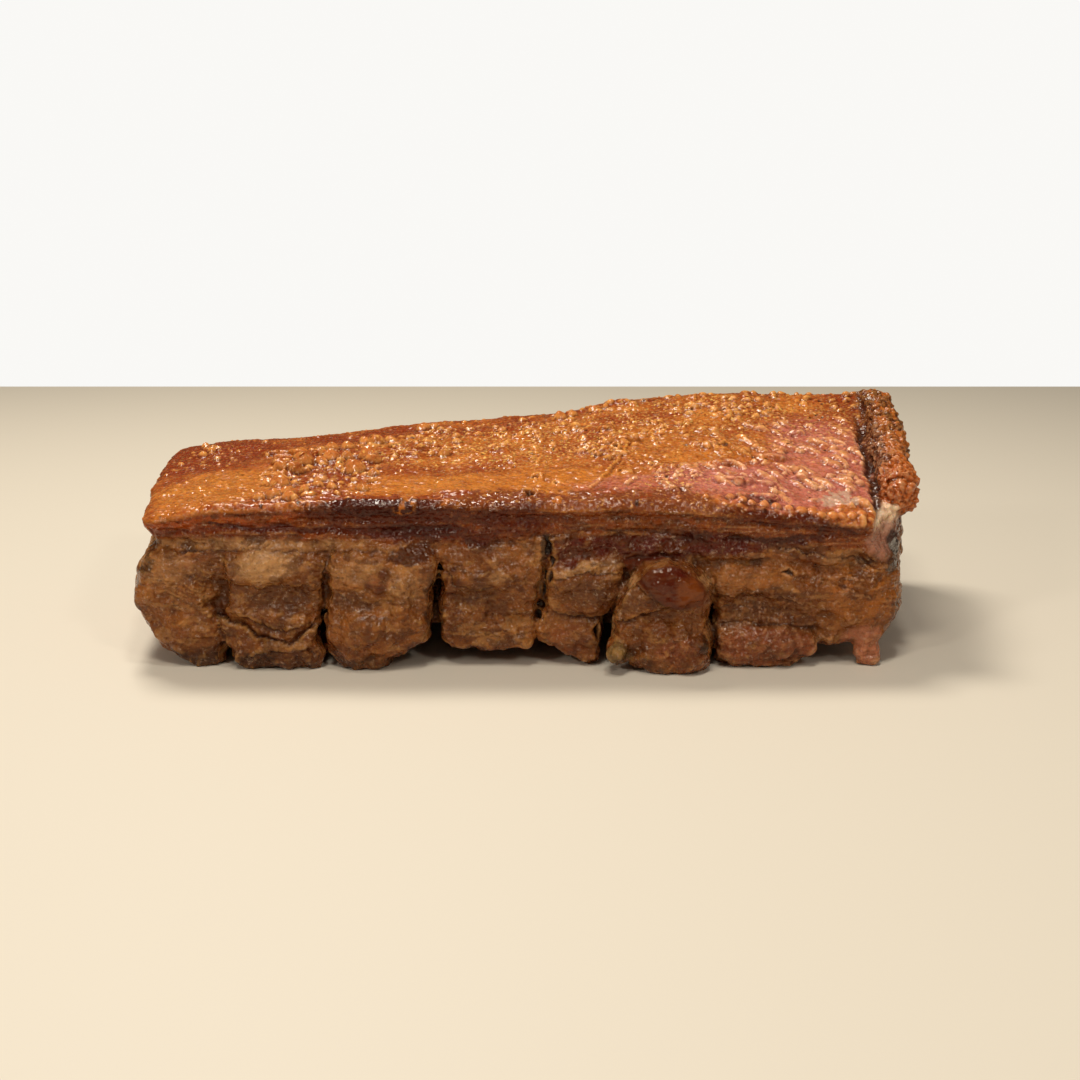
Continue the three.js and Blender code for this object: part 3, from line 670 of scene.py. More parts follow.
# %% All relief together
out = rind * skin_out + rim * rim_out + fat_band * fat_out + meat * meat_out
out += 0.9 * beads + fringe_out * (1 - meat) - 2.0 * groove + 1.5 * corner
undercut = np.exp(-(((z - lip_height(x) + 2.2) / 1.3) ** 2)) * front * (1 - rise(x, 108, 116))
out -= 0.7 * undercut
move_to(roast_mesh, points + normals * out[:, None])
print("relief, mm:", round(float(out.min()), 2), "to", round(float(out.max()), 2))

# %% [markdown]
# The crests are painted paler, partly as browning and partly as a painted highlight, and the hollows
# darker, as painted shade. How far each vertex lies above or below its neighbours is known once the relief
# is there: the mesh is smoothed in memory, and the distance to the smoothed copy is the depth of the
# hollow. A shader could ask for it, but stored values survive an export.

# %% Crests and hollows
links = np.empty(2 * len(roast_mesh.edges), dtype=np.int64)
roast_mesh.edges.foreach_get("vertices", links)
links = links.reshape(-1, 2)
link_count = np.bincount(links.ravel(), minlength=len(x)).clip(1)


def neighbour_mean(values):
    """The mean of each vertex's neighbours, for one number or three on each vertex."""
    columns = values.reshape(len(values), -1)
    total = np.zeros_like(columns)
    for i in range(columns.shape[1]):
        total[:, i] = np.bincount(links[:, 0], columns[links[:, 1], i], len(x))
        total[:, i] += np.bincount(links[:, 1], columns[links[:, 0], i], len(x))
    return (total / link_count[:, None]).reshape(values.shape)


def hollow_depth(rounds):
    """Millimetres below the smoothed surface: above 0 in a hollow, below 0 on a crest."""
    carved = millimetres(roast_mesh)
    smooth = carved
    for _ in range(rounds):
        smooth = 0.5 * smooth + 0.5 * neighbour_mean(smooth)
    return np.sum((smooth - carved) * normals, axis=1)


fine_hollows = hollow_depth(4)
wide_hollows = hollow_depth(40)
print("hollows, mm:", [round(float(np.abs(h).mean()), 3) for h in (fine_hollows, wide_hollows)])

# %% [markdown]
# The colours follow the same idea as the relief: each region is a soft spot, in plan for the rind and in
# front view for the cut face, with a ragged edge from noise, and is stored on the vertices as a mask. The
# material then mixes a few named colours by these masks. Painting the colours straight onto the vertices
# would also work, but masks can be retuned without touching the mesh.

# %% Helpers for the masks
torn_x = x + 2.4 * wobble(points, 8, 71) + 1.4 * wobble(points, 2.6, 76)
torn_y = y + 4.5 * wobble(points, 9, 72) + 3.0 * wobble(points, 2.6, 77)
torn_z = z + 1.6 * wobble(points, 7, 73) + 1.0 * wobble(points, 2.3, 78)
right_end = rise(0.6 * normals[:, 0] - 0.8 * normals[:, 1], 0.15, 0.5)
right_end *= rise(x, 104, 112) * rise(-y, -5, 15)
seen_face = np.maximum(front, right_end)
unseen = (1 - front) * side


def in_plan_view(*spots):
    """A mask of ragged spots in plan: (middle, half, turn, strength)."""
    return near_spots(torn_x, torn_y, spots)


def in_side_view(*spots):
    """The same in front view, on all sides of the roast."""
    return near_spots(torn_x, torn_z, spots)


def in_front_view(*spots):
    """The same in front view, on the cut face and the right end's front corner."""
    return in_side_view(*spots) * seen_face


def stain_mask(coarse, fine, seed, fine_share, start, end):
    """A mask of scattered stains, from two sizes of noise."""
    return rise(wobble(points, coarse, seed) + fine_share * wobble(points, fine, seed + 1), start, end)


print("share seen from the front:", round(float(seen_face.mean()), 2))

# %% Masks of the rind and its rim
masks = {
    "rind": rind,
    "rim": rim,
    "fat_band": fat_band,
    # Paler crests: partly browning, partly a painted highlight.
    "crest_and_highlight": rise(-fine_hollows, 0.02, 0.28) * (1 - 0.75 * fringe * (1 - beaded)),
    # Hollows get a darker tone later: painted shade.
    "hollow_shade": np.maximum(rise(fine_hollows, 0.02, 0.3), 0.8 * rise(wide_hollows, 0.15, 0.9)),
    "bubble": rise(bubbles, 0.3, 1.1) * rind,
    "large_bubble": rise(large, 0.5, 2.0) * rind,
    "flecks": small_bubbles(x, y) * rind,
    "pit": np.clip(pits + 0.9 * burnt_specks, 0, 1) * rind,
    "pale_line": np.clip(0.8 * fold_lip + 0.45 * scratch, 0, 1) * rind,
    # The groove is painted dark later: painted shade.
    "groove": np.clip(1.2 * groove, 0, 1),
    "rim_outer": rim * rise(x - groove_x(y) + 1.5 * wobble(points, 5, 87), 3, 8),
    "rim_tip": rim * rise(-y, 22, 36),
}
masks["red_rind"] = in_plan_view(
    ((-126, 30), (36, 36), 0, 0.95), ((-70, 45), (50, 14), 0, 0.6), ((-70, -14), (17, 40), 0, 0.7),
    ((-25, -56), (70, 3.5), 0, 0.8), ((122, 20), (9, 50), 0, 0.6), ((20, 58), (40, 8), 0, 0.5),
)
masks["amber_rind"] = in_plan_view(
    ((-106, -34), (20, 24), -15, 1.0), ((-10, -40), (50, 12), 3, 0.85), ((44, -4), (20, 26), 0, 0.5),
)
masks["pink_rind"] = in_plan_view(
    ((84, -40), (40, 17), 0, 0.95), ((104, -14), (22, 42), 0, 0.7), ((42, -46), (26, 8), 0, 0.6),
)
masks["crust"] = in_plan_view(((103, -49), (6.5, 4.5), 0, 0.9)) * rind
print("masks of the rind:", len(masks))

# %% Masks of the rind's front edge and the fat
brown_top = lip_height(x) + 3.2 - 3 * rise(x, 50, 66)
edge_brown = rise(-y, 44, 50) * (1 - rise(torn_z, brown_top, brown_top + 3)) * rind
masks["edge_brown"] = edge_brown * rise(torn_x, -34, -14) * (1 - rise(torn_x, 92, 108))
masks["bead"] = np.clip(beads, 0, 1)
orange_edge = rise(torn_z, lip_height(x) - 3.5, lip_height(x) + 0.5) * front
masks["orange_edge"] = orange_edge * (1 - rise(torn_x, -80, -62))
golden_edge = in_front_view(((-39, 54.4), (4.0, 1.4), 0, 0.8), ((11, 56.0), (2.5, 1.0), 0, 0.6))
masks["golden_edge"] = golden_edge * rise(wobble(points, 1.7, 86), -0.5, 0.2)
dark_fat = in_front_view(
    ((-44, 52.5), (30, 4.2), 0, 0.95), ((-6, 50), (20, 6), 0, 0.7), ((-28, 46), (26, 3.6), 0, 0.85),
    ((-64, 47), (36, 1.5), 0, 0.6), ((85, 49.5), (24, 2.4), -8, 0.7), ((90, 44), (14, 1.6), 0, 0.7),
)
masks["dark_fat"] = np.clip(dark_fat + 0.9 * crack, 0, 1)
masks["purple"] = in_front_view(
    ((-50, 54), (20, 2.5), 0, 0.8), ((-36, 46.5), (16, 2.6), 0, 0.8), ((-38, 39.5), (7, 3.2), 0, 1.0),
    ((-17, 42.5), (3, 2), 0, 0.8), ((55, 45), (4, 2.5), 0, 0.8), ((84, 44), (11, 1.6), 0, 0.7),
    ((74, 54.6), (9, 1.3), -6, 0.75), ((49, 57.6), (5, 1.0), 0, 0.6), ((100, 46), (8, 2.4), -12, 0.5),
)
masks["amber_fat"] = (1 - rise(torn_x, -96, -66)) * fat_band
masks["fat_streaks"] = stain_mask((34, 34, 2.4), (8, 8, 1.5), 91, 0.5, 0.1, 0.5) * unseen * fat_band
masks["fat_dark"] = stain_mask((30, 30, 8), (6, 6, 2), 93, 0.5, 0.05, 0.5) * unseen * fat_band
print("masks so far:", len(masks))

# %% Masks of the meat
patches = rise(wobble(points, (26, 26, 13), 81), -0.1, 0.5) * (1 - front)
layers = wobble(points + 2.5 * wobble(points, 30, 88)[:, None], (60, 60, 5.5), 89)
layers += 0.4 * wobble(points, (9, 9, 3), 90)
masks["marbling"] = stain_mask((7, 7, 3.4), (2.6, 2.6, 1.6), 82, 0.5, 0.15, 0.5) * meat
masks["browned"] = stain_mask((9, 9, 5), (2.8, 2.8, 1.8), 84, 0.6, 0.15, 0.6) * (1 - rind)
masks["pale_fat"] = 0.8 * rise(layers, 0.1, 0.4) * unseen * meat + in_front_view(
    ((-84.5, 35.6), (11, 4.8), 0, 0.9), ((-117, 34), (12, 5), 0, 0.35), ((-90, 42.5), (34, 2.2), 0, 0.5),
    ((-39, 29.6), (7, 5), -25, 0.4), ((-56, 34), (10, 4), 0, 0.4), ((20, 34.5), (12, 1.5), 6, 0.7),
    ((68, 30), (11, 4), 0, 0.5), ((-9, 32), (5, 2), 0, 0.5),
)
lean_front = in_front_view(
    ((-80, 24.5), (12, 5), 0, 1.0), ((-58, 24), (8, 4), 0, 0.75), ((-18, 26), (10, 4.5), 0, 0.7),
    ((24, 26), (16, 5.5), -6, 0.8), ((78, 19.5), (16, 3.6), 0, 0.6), ((-80, 14), (10, 2), -10, 0.6),
    ((40, 9), (5, 6), 0, 0.4),
)
lean_layers = 0.8 * rise(-layers, 0.1, 0.4) * unseen * meat
masks["lean"] = np.maximum.reduce([lean_front, 0.6 * patches * meat, lean_layers])
masks["mahogany"] = in_front_view(
    ((46, 42), (40, 4.2), 0, 0.95), ((14, 39), (8, 4), 0, 0.7), ((90, 37.5), (10, 3), -12, 0.4),
    ((43, 37.6), (11, 2.4), -22, 0.8),
)
masks["red_meat"] = in_front_view(
    ((78, 7.5), (17, 6), 0, 0.95), ((50, 7), (9, 5.5), 0, 0.7), ((14, 9), (10, 6), 0, 0.5),
    ((-48, 31), (4, 3), 0, 0.6), ((-110, 38), (8, 3), 0, 0.4), ((-60, 9), (14, 6), 0, 0.35),
)
masks["golden_meat"] = np.maximum(0.35 * (1 - front), in_front_view(
    ((112, 24), (14, 10), 0, 0.8), ((53, 28), (5.5, 3.6), -30, 0.95), ((70, 30.5), (13, 5), 0, 0.7),
    ((96, 33), (12, 5), 0, 0.5), ((-112, 20), (16, 12), 0, 0.3),
))
# Char, and painted shade in the slots and gaps between the fingers.
masks["char_and_gap_shade"] = in_front_view(
    ((6.4, 40.5), (2.4, 5), 8, 0.85), ((5.4, 26), (2.0, 10), 0, 0.45), ((-126, 36), (5, 5), 0, 0.6),
    ((-131, 22), (3, 8), 0, 0.6), ((-31, 22), (2.6, 12), 0, 0.7), ((60, 10), (2.4, 6), 0, 0.8),
)
print("masks so far:", len(masks))

# %% Masks of single places, and all of them stored
end_fat = in_side_view(((118.5, 48.8), (5.4, 4.6), 0, 1.0)) * (1 - rise(torn_z, 51.5, 54))
masks["end_fat"] = end_fat * rise(-y, 15, 30)
masks["lump"] = in_side_view(((118, 42), (7, 6.5), 0, 0.9)) * rise(-y, 26, 40)
lump_tip = in_side_view(((122.5, 39.5), (4, 6), 0, 1.0), ((121, 34), (4, 2.4), 0, 0.7))
masks["lump_tip"] = lump_tip * rise(-y, 30, 44)
masks["tag"] = in_front_view(((112, 6.5), (7, 8), 0, 1.0))
masks["gristle"] = spot(bent_face_x, bent_face_z, (29.6, 6.4), (4.4, 4.6), 0, 0.2) * near_front
# The lowest few millimetres of the front are painted darker: painted shade.
shaded_feet = in_side_view(
    ((-103, 0), (22, 18), 0, 1.0), ((-60, -2), (26, 12), 0, 0.6), ((34, 0), (12, 10), 0, 0.5),
    ((-10, 0), (22, 8), 0, 0.5),
)
masks["foot"] = (1 - rise(torn_z, 1, 12)) * shaded_feet * front
masks.update(nodule=nodules, oval=oval, valley=valley, hole=hole)

for name, values in masks.items():
    layer = roast_mesh.attributes.new(name, "FLOAT", "POINT")
    layer.data.foreach_set("value", np.asarray(values, dtype=np.float32))
print("masks stored:", len(masks))

# %% [markdown]
# One mesh may hold about two hundred thousand triangles, and the whole roast needs more to keep its
# smallest blisters. So it is sliced like a real one, across its length, through the clefts between the
# fingers. Each slice is closed with a flat cap that the next one hides. The edges of the caps are marked
# sharp, so that the smooth shading of the outside doesn't bend towards them.

# %% Cutting a slice
SLICE_PLACES = [-101.5, -67.0, -30.5, 6.0, 60.0, 96.0]
SAME_PLACE = 1e-7


def slice_off(shape, point, normal):
    """Removes what lies beyond a plane, on the side its normal points to, and closes the cut."""
    everything = [*shape.verts, *shape.edges, *shape.faces]
    cut = bmesh.ops.bisect_plane(
        shape, geom=everything, dist=SAME_PLACE, plane_co=point, plane_no=normal, clear_outer=True
    )
    border = [part for part in cut["geom_cut"] if isinstance(part, bmesh.types.BMEdge)]
    bmesh.ops.triangle_fill(shape, use_beauty=True, edges=border, normal=normal)
    for edge in border:
        edge.smooth = False


print("cuts at X, mm:", SLICE_PLACES)


def cut_slice(name, from_x, to_x):
    """The part of the roast between two places along X, as an object."""
    shape = bmesh.new()
    shape.from_mesh(roast_mesh)
    if from_x is not None:
        slice_off(shape, (from_x / MILLIMETRES, 0, 0), (-1, 0, 0))
    if to_x is not None:
        slice_off(shape, (to_x / MILLIMETRES, 0, 0), (1, 0, 0))
    bmesh.ops.triangulate(shape, faces=shape.faces)
    bmesh.ops.recalc_face_normals(shape, faces=shape.faces)
    mesh = bpy.data.meshes.new(name)
    shape.to_mesh(mesh)
    shape.free()
    mesh.polygons.foreach_set("use_smooth", np.ones(len(mesh.polygons), dtype=bool))
    piece = bpy.data.objects.new(name, mesh)
    bpy.context.scene.collection.objects.link(piece)
    print(name, "triangles:", len(mesh.polygons))
    return piece


# %% The seven slices
ends = [None, *SLICE_PLACES, None]
slices = [cut_slice(f"belly_slice_{i + 1}", a, b) for i, (a, b) in enumerate(zip(ends, ends[1:]))]
print("triangles in all:", sum(len(piece.data.polygons) for piece in slices))

# %% [markdown]
# A finish is a tree of small nodes. The few kinds that are used again and again, such as a noise on
# Object coordinates, a smooth step or a mask from the mesh, get a short helper each, so that a colour
# reads as one line. Setting every node by hand would say the same in five times the length.

# %% Helpers that make groups and noise
def new_group(name, inputs, outputs):
    """An empty shader group with typed sockets, given as (name, kind, value)."""
    group = bpy.data.node_groups.new(name, "ShaderNodeTree")
    for socket, kind, value in inputs:
        made = group.interface.new_socket(socket, in_out="INPUT", socket_type=kind)
        if value is not None:
            made.default_value = value
    for socket, kind in outputs:
        group.interface.new_socket(socket, in_out="OUTPUT", socket_type=kind)
    return group, group.nodes.new("NodeGroupInput"), group.nodes.new("NodeGroupOutput")


def noise_node(tree, scale, detail=3.0, roughness=0.55, stretch=(1, 1, 1)):
    """A noise texture on Object coordinates, with scale in lumps for each metre."""
    place = tree.nodes.new("ShaderNodeTexCoord")
    mapping = tree.nodes.new("ShaderNodeMapping")
    mapping.inputs["Scale"].default_value = stretch
    noise = tree.nodes.new("ShaderNodeTexNoise")
    noise.inputs["Detail"].default_value = detail
    noise.inputs["Roughness"].default_value = roughness
    if isinstance(scale, (int, float)):
        noise.inputs["Scale"].default_value = scale
    else:
        tree.links.new(scale, noise.inputs["Scale"])
    tree.links.new(place.outputs["Object"], mapping.inputs["Vector"])
    tree.links.new(mapping.outputs["Vector"], noise.inputs["Vector"])
    return noise.outputs["Fac"]


def remap(tree, value, low, high, start=0.0, end=1.0):
    """A smooth step of a value from low..high to start..end."""
    node = tree.nodes.new("ShaderNodeMapRange")
    node.interpolation_type = "SMOOTHSTEP"
    tree.links.new(value, node.inputs["Value"])
    for socket, number in (("From Min", low), ("From Max", high), ("To Min", start), ("To Max", end)):
        node.inputs[socket].default_value = number
    return node.outputs["Result"]


print("helpers:", [helper.__name__ for helper in (new_group, noise_node, remap)])


# %% Helpers that mix and calculate
def mix(tree, under, over, amount, blend="MIX"):
    """One colour over another by an amount. Colours and amounts may be values or sockets."""
    node = tree.nodes.new("ShaderNodeMix")
    node.data_type = "RGBA"
    node.blend_type = blend
    node.clamp_factor = True
    for socket, thing in (("A", under), ("B", over)):
        target = next(s for s in node.inputs if s.name == socket and s.type == "RGBA")
        if isinstance(thing, tuple):
            target.default_value = thing
        else:
            tree.links.new(thing, target)
    if isinstance(amount, (int, float)):
        node.inputs["Factor"].default_value = amount
    else:
        tree.links.new(amount, node.inputs["Factor"])
    return next(s for s in node.outputs if s.type == "RGBA")


def calc(tree, operation, a, b=0.0):
    """One step of arithmetic on values or sockets."""
    node = tree.nodes.new("ShaderNodeMath")
    node.operation = operation
    for socket, thing in zip(node.inputs, (a, b)):
        if isinstance(thing, (int, float)):
            socket.default_value = thing
        else:
            tree.links.new(thing, socket)
    return node.outputs["Value"]


def mask_of(tree, name, strength=1.0):
    """A mask from the mesh's vertices."""
    node = tree.nodes.new("ShaderNodeAttribute")
    node.attribute_name = name
    return calc(tree, "MULTIPLY", node.outputs["Fac"], strength) if strength != 1.0 else node.outputs["Fac"]


print("helpers:", [helper.__name__ for helper in (mix, calc, mask_of)])


# %% Helpers for layers, groups and bumps
def layered(tree, base, layers):
    """A colour with named layers over it, each (colour, mask)."""
    colour = base
    for over, amount in layers:
        colour = mix(tree, colour, over, amount)
    return colour


def placed(tree, group, values):
    """A group node with its own values."""
    node = tree.nodes.new("ShaderNodeGroup")
    node.node_tree = group
    for socket, value in values.items():
        if isinstance(value, (int, float, tuple)):
            node.inputs[socket].default_value = value
        else:
            tree.links.new(value, node.inputs[socket])
    return node


def bumped(tree, height, distance, strength=1.0):
    """The normal that a height gives."""
    node = tree.nodes.new("ShaderNodeBump")
    node.inputs["Distance"].default_value = distance
    node.inputs["Strength"].default_value = strength
    tree.links.new(height, node.inputs["Height"])
    return node.outputs["Normal"]


print("helpers:", [helper.__name__ for helper in (layered, placed, bumped)])

# %% [markdown]
# Two effects appear in every part of the finish, so each is a node group. The first gives the ragged
# border of a browned place: it breaks up a soft mask with fine noise, so that a colour ends in specks and
# not in a blur. The second gives a height for fine bumps, the wet grain that no mesh here is fine enough
# to carry. They hand out masks and heights only, and the shader itself stays in the material.

# %% The ragged border
FLOAT = "NodeSocketFloat"
ragged, ragged_in, ragged_out = new_group(
    "ragged border",
    [("Mask", FLOAT, 0.0), ("Scale", FLOAT, 420.0), ("Break up", FLOAT, 1.0)],
    [("Mask", FLOAT)],
)
crumbs = calc(ragged, "SUBTRACT", noise_node(ragged, ragged_in.outputs["Scale"], 4.0, 0.7), 0.5)
crumbs = calc(ragged, "MULTIPLY", crumbs, ragged_in.outputs["Break up"])
broken = calc(ragged, "ADD", ragged_in.outputs["Mask"], crumbs)
ragged.links.new(remap(ragged, broken, 0.14, 0.86), ragged_out.inputs["Mask"])
print("nodes in the ragged border:", len(ragged.nodes))

# %% The wet grain
wet_grain, wet_in, wet_out = new_group(
    "wet grain",
    [("Fine", FLOAT, 640.0), ("Strings", FLOAT, 0.5)],
    [("Height", FLOAT)],
)
pimples = noise_node(wet_grain, wet_in.outputs["Fine"], 0.8, 0.5)
swellings = noise_node(wet_grain, 260, 0.6, 0.5)
threads = noise_node(wet_grain, 420, 0.6, 0.5, (0.35, 0.35, 2.6))
grain = calc(wet_grain, "ADD", pimples, calc(wet_grain, "MULTIPLY", threads, wet_in.outputs["Strings"]))
grain = calc(wet_grain, "ADD", grain, calc(wet_grain, "MULTIPLY", swellings, 1.2))
wet_grain.links.new(grain, wet_out.inputs["Height"])
print("nodes in the wet grain:", len(wet_grain.nodes))

# %% [markdown]
# The finish has four grounds, the rind, its rim, the fat and the meat, and each is a few colours mixed by
# masks. All of them are then browned unevenly, darkened as painted shade in the hollows, folds, gaps and
# low parts, and brightened on the crests, partly as browning and partly as a painted highlight. They could
# be four materials, but on a real roast one runs into the next, and a border between materials is always a
# line.

# %% The roast's material
roast_finish = bpy.data.materials.new("roast rind, fat and meat")
roast_finish.use_nodes = True
tree = roast_finish.node_tree
shader = tree.nodes["Principled BSDF"]


def edged(name, strength=1.0, break_up=1.1, scale=420.0):
    """A mask from the mesh with a ragged border, times a strength."""
    values = {"Mask": mask_of(tree, name), "Scale": scale, "Break up": break_up}
    return calc(tree, "MULTIPLY", placed(tree, ragged, values).outputs["Mask"], strength)


patchy = remap(tree, noise_node(tree, 55, 4.0, 0.65), 0.38, 0.66)
mottle = remap(tree, noise_node(tree, 230, 4.0, 0.65), 0.36, 0.66)
specks = remap(tree, noise_node(tree, 900, 3.0, 0.6), 0.54, 0.66)
dark_stains = remap(tree, noise_node(tree, 110, 5.0, 0.7), 0.48, 0.64)
pale_specks = remap(tree, noise_node(tree, 760, 2.0, 0.6, (1.0, 1.0, 1.2)), 0.55, 0.68)
print("kinds of noise:", len([node for node in tree.nodes if node.type == "TEX_NOISE"]))

# %% [markdown]
# Roast rind isn't one brown. Where it lay dry it is dark red, where fat ran over it it is amber, and on
# the right, where the heat was lower, it is still pink. Its bubbles are paler than the skin between them,
# because they are thin and full of air, and the smallest are golden. So the ground takes its regions
# first, then the bubbles, and last fine stains and flecks from noise.

# %% The rind's colours
rind_ground = mix(tree, tone(152, 64, 22), tone(208, 120, 44), patchy)
rind_ground = layered(tree, rind_ground, [
    (tone(134, 46, 13), edged("red_rind", 0.95)),
    (tone(212, 127, 46), edged("amber_rind", 0.9, 1.6)),
    (tone(204, 116, 98), edged("pink_rind", 0.85, 1.8)),
    (tone(228, 156, 84), mask_of(tree, "bubble", 0.6)),
    (tone(190, 92, 36), mask_of(tree, "large_bubble", 0.65)),
    (tone(226, 150, 62), mask_of(tree, "pale_line", 0.45)),
])
rind_ground = mix(tree, rind_ground, tone(138, 50, 16), calc(tree, "MULTIPLY", dark_stains, 0.45))
rind_ground = mix(tree, rind_ground, tone(122, 44, 12), calc(tree, "MULTIPLY", mottle, 0.35))
golden_flecks = calc(tree, "MULTIPLY", pale_specks, mask_of(tree, "flecks", 0.9))
rind_ground = mix(tree, rind_ground, tone(244, 190, 98), golden_flecks)
rind_ground = mix(tree, rind_ground, tone(86, 26, 8), calc(tree, "MULTIPLY", specks, 0.5))
print("nodes for the rind:", len(tree.nodes))

# %% [markdown]
# Below the rind, the fat is browned to mahogany in front and shows dark and pale streaks on the other
# sides. The meat is a grey-brown mix of lean and fat: pale where fat lies on top, dark where lean is
# bare, reddish at the tips that it stands on. The rim is a sponge, nearly black in its pores and orange
# where it caught the heat. Each is a base tone with a few more over it, so every region can be matched by
# itself.

# %% The fat's colours
fat_ground = layered(tree, tone(124, 55, 15), [
    (tone(110, 40, 8), edged("amber_fat")),
    (tone(164, 70, 14), edged("orange_edge", 0.75, 1.6)),
    (tone(168, 98, 40), edged("fat_streaks", 0.8)),
    (tone(72, 26, 9), edged("fat_dark", 0.8)),
])
fat_ground = mix(tree, fat_ground, tone(196, 128, 60), calc(tree, "MULTIPLY", pale_specks, 0.3))
print("nodes with the fat:", len(tree.nodes))

# %% The meat's colours
pale_fat = calc(tree, "ADD", edged("pale_fat", 0.35), mask_of(tree, "pale_fat", 0.5))
meat_ground = mix(tree, tone(116, 60, 22), tone(150, 87, 36), patchy)
meat_ground = layered(tree, meat_ground, [
    (tone(182, 124, 66), edged("marbling", 0.5)),
    (tone(202, 148, 92), pale_fat),
    (tone(104, 58, 28), edged("lean", 0.95)),
    (tone(134, 67, 37), edged("red_meat", 0.85)),
    (tone(158, 88, 32), edged("golden_meat", 0.85)),
    (tone(176, 105, 70), edged("tag")),
    (tone(126, 100, 58), mask_of(tree, "gristle", 0.9)),
])
meat_ground = mix(tree, meat_ground, tone(74, 34, 13), calc(tree, "MULTIPLY", mottle, 0.38))
meat_ground = mix(tree, meat_ground, tone(216, 162, 90), calc(tree, "MULTIPLY", pale_specks, 0.12))
print("nodes with the meat:", len(tree.nodes))

# %% The rim's colours
rim_ground = mix(tree, tone(104, 44, 15), tone(186, 96, 30), edged("rim_outer", 0.85, 1.6, 260.0))
burnt_threads = remap(tree, noise_node(tree, 170, 4.0, 0.65), 0.44, 0.62, 0.0, 0.85)
rim_ground = mix(tree, rim_ground, tone(70, 28, 11), burnt_threads)
rim_ground = mix(tree, rim_ground, tone(190, 90, 28), edged("rim_tip", 0.7))
print("nodes with the rim:", len(tree.nodes))

# %% [markdown]
# Now the grounds meet, and browning goes over all of them. Painted shade darkens the hollows, the fold
# valleys, the groove, the gaps, the holes and the low front of the fingers, and the crests catch a paler
# tone that is partly browning and partly a painted highlight. The burnt, dark, pale and glazed places lie on
# top, the smallest last. The order is that of the real thing, where soot and glaze cover whatever is below.
# One long list of colours and masks keeps that order easy to read.

# %% All grounds together, browned, with painted shade and highlights
ground = layered(tree, meat_ground, [
    (fat_ground, mask_of(tree, "fat_band")),
    (rind_ground, mask_of(tree, "rind")),
    (rim_ground, mask_of(tree, "rim")),
    (tone(82, 21, 8), edged("mahogany", 1.0)),
    (tone(78, 35, 12), edged("browned", 0.6)),
])
not_rind = calc(tree, "SUBTRACT", 1.0, mask_of(tree, "rind"))
skin_between = calc(tree, "SUBTRACT", mask_of(tree, "rind"), mask_of(tree, "large_bubble", 0.6))
ground = layered(tree, ground, [
    # Painted shade on the low front of the fingers.
    (tone(52, 21, 9), edged("foot", 0.85, 0.9, 260.0)),
    # Painted shade in the hollows.
    (tone(62, 21, 7), mask_of(tree, "hollow_shade", 0.65)),
    # Paler crests, partly browning and partly a painted highlight.
    (tone(240, 168, 82), calc(tree, "MULTIPLY", mask_of(tree, "crest_and_highlight", 0.55), skin_between)),
    (tone(238, 176, 144), calc(tree, "MULTIPLY", mask_of(tree, "crest_and_highlight", 0.5), mask_of(tree, "pink_rind"))),
    (tone(200, 144, 77), calc(tree, "MULTIPLY", mask_of(tree, "crest_and_highlight", 0.35), not_rind)),
    (tone(194, 158, 128), edged("crust", 0.75, 3.0, 560.0)),
    (tone(122, 60, 28), edged("edge_brown", 0.85, 1.6, 300.0)),
    (tone(206, 140, 72), calc(tree, "MULTIPLY", pale_specks, mask_of(tree, "edge_brown", 0.7))),
    (tone(74, 17, 5), edged("dark_fat", 0.85, 1.8, 340.0)),
    (tone(58, 16, 9), edged("purple", 0.8, 2.2, 300.0)),
    (tone(206, 116, 32), edged("golden_edge", 0.75, 1.6)),
    (tone(214, 128, 62), mask_of(tree, "bead", 0.75)),
    (tone(242, 202, 160), edged("end_fat", 1.0, 0.9)),
    (tone(174, 118, 92), edged("lump", 0.85, 1.3)),
    (tone(30, 25, 26), edged("lump_tip", 0.85, 1.3)),
    (tone(78, 22, 11), mask_of(tree, "oval", 0.85)),
    (tone(132, 66, 20), calc(tree, "MULTIPLY", mask_of(tree, "oval"), mask_of(tree, "golden_meat", 0.6))),
    (tone(74, 25, 9), mask_of(tree, "nodule", 0.8)),
    # Painted shade in the fold valleys.
    (tone(48, 19, 7), mask_of(tree, "valley", 0.5)),
    (tone(44, 16, 7), mask_of(tree, "pit", 0.95)),
    # Painted shade in the groove before the rim.
    (tone(44, 16, 6), mask_of(tree, "groove", 0.85)),
    # Char, and painted shade in the slots and gaps between the fingers.
    (tone(34, 16, 9), edged("char_and_gap_shade", 0.8, 1.4)),
    # Painted shade in the holes and gaps.
    (tone(20, 10, 6), edged("hole", 0.92, 0.9)),
])
print("nodes with the browning:", len(tree.nodes))

# %% Fine dark specks, and the colour's link
dry_specks = calc(tree, "MULTIPLY", specks, calc(tree, "MULTIPLY", not_rind, 0.25))
ground = mix(tree, ground, tone(48, 19, 8), dry_specks)
tree.links.new(ground, shader.inputs["Base Color"])
print("colour from:", ground.node.name)

# %% [markdown]
# Grease makes the meat look wet, and wet things are smooth with a few sharp glints, not rough all over.
# So the bump is kept low and soft, calmer on the rind, calmest on large bubbles and on the glazed oval,
# and the roughness is low everywhere and lowest on the crests, where fat gathers. A little light also
# passes through the surface, which takes away the look of painted clay.

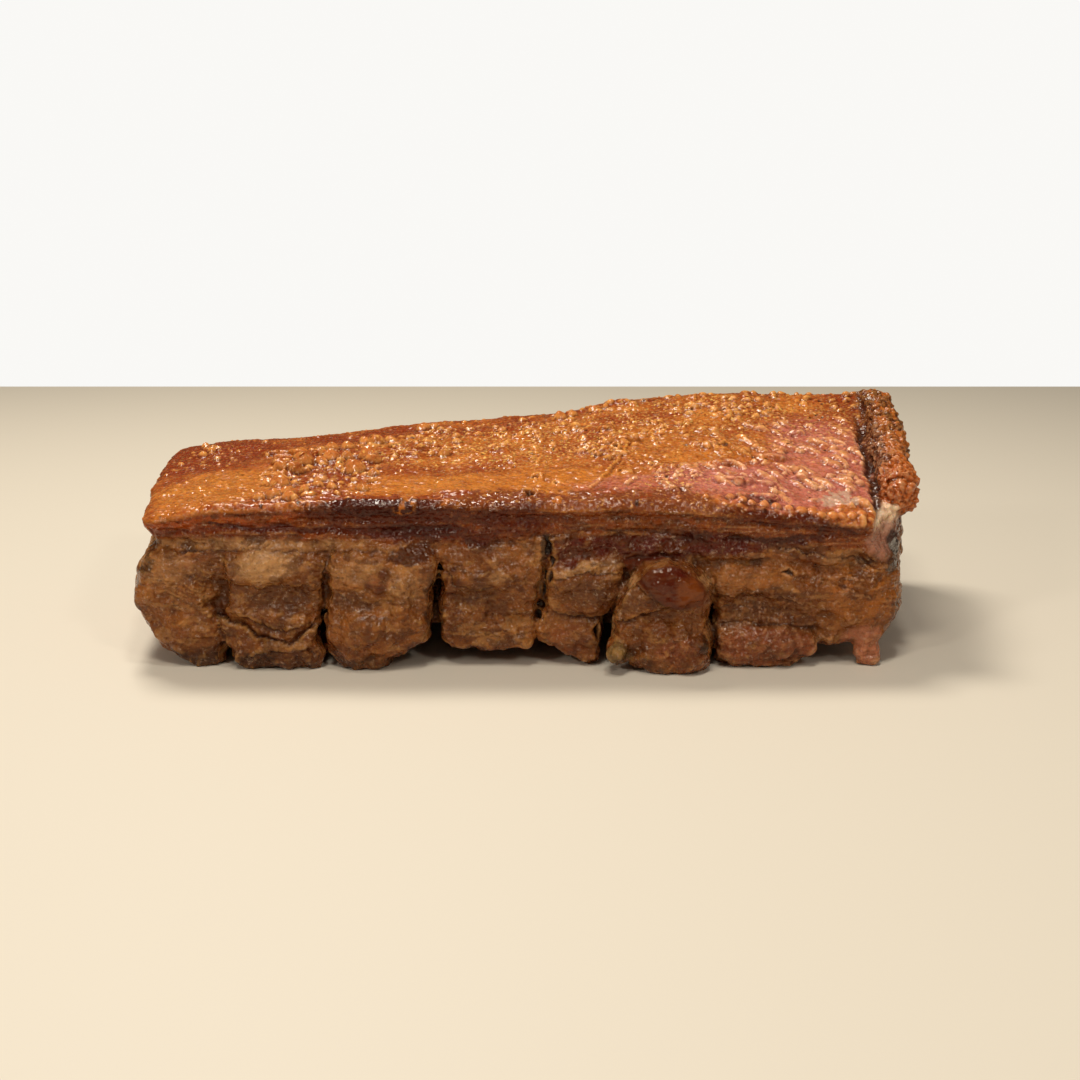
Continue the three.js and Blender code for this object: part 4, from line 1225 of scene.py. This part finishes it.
# %% The wet grain as a bump
BUMP_DEPTH = 0.001
grain_height = placed(tree, wet_grain, {"Fine": 640.0, "Strings": calc(tree, "MULTIPLY", not_rind, 0.4)})
calmed = calc(tree, "SUBTRACT", 1.0, mask_of(tree, "rind", 0.6))
calmed = calc(tree, "MULTIPLY", calmed, calc(tree, "SUBTRACT", 1.0, mask_of(tree, "large_bubble", 0.7)))
calmed = calc(tree, "MULTIPLY", calmed, calc(tree, "SUBTRACT", 1.0, mask_of(tree, "oval", 0.6)))
calm_height = calc(tree, "MULTIPLY", grain_height.outputs["Height"], calmed)
tree.links.new(bumped(tree, calm_height, BUMP_DEPTH), shader.inputs["Normal"])
print("bump, mm:", round(MILLIMETRES * BUMP_DEPTH, 1))

# %% How wet each place is
SMOOTHEST = 0.09
gloss = remap(tree, noise_node(tree, 240, 3.0, 0.6), 0.35, 0.62, 0.1, 0.28)
wet = calc(tree, "MAXIMUM", mask_of(tree, "large_bubble", 0.7), mask_of(tree, "oval", 0.75))
wet = calc(tree, "MAXIMUM", wet, calc(tree, "MULTIPLY", mask_of(tree, "crest_and_highlight", 0.45), not_rind))
gloss = calc(tree, "MULTIPLY", gloss, calc(tree, "SUBTRACT", 1.0, wet))
gloss = calc(tree, "MAXIMUM", gloss, SMOOTHEST)
tree.links.new(gloss, shader.inputs["Roughness"])
print("roughness from:", gloss.node.name)

# %% What is the same all over, and the finish on the slices
shader.inputs["IOR"].default_value = 1.42
shader.inputs["Specular IOR Level"].default_value = 0.43
shader.inputs["Subsurface Weight"].default_value = 0.25
shader.inputs["Subsurface Radius"].default_value = (1.0, 0.35, 0.15)
shader.inputs["Subsurface Scale"].default_value = 0.003
shader.inputs["Specular Tint"].default_value = (1.0, 0.87, 0.72, 1)
for piece in slices:
    piece.data.materials.clear()
    piece.data.materials.append(roast_finish)
print("nodes in the finish:", len(tree.nodes))

# %% [markdown]
# The slices now stand in for the solid, which stays behind them for collisions, hidden. Each rides on the
# one body.

# %% The slices take the solid's place
for piece in slices:
    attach(piece, "root")
    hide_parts("pork_belly")
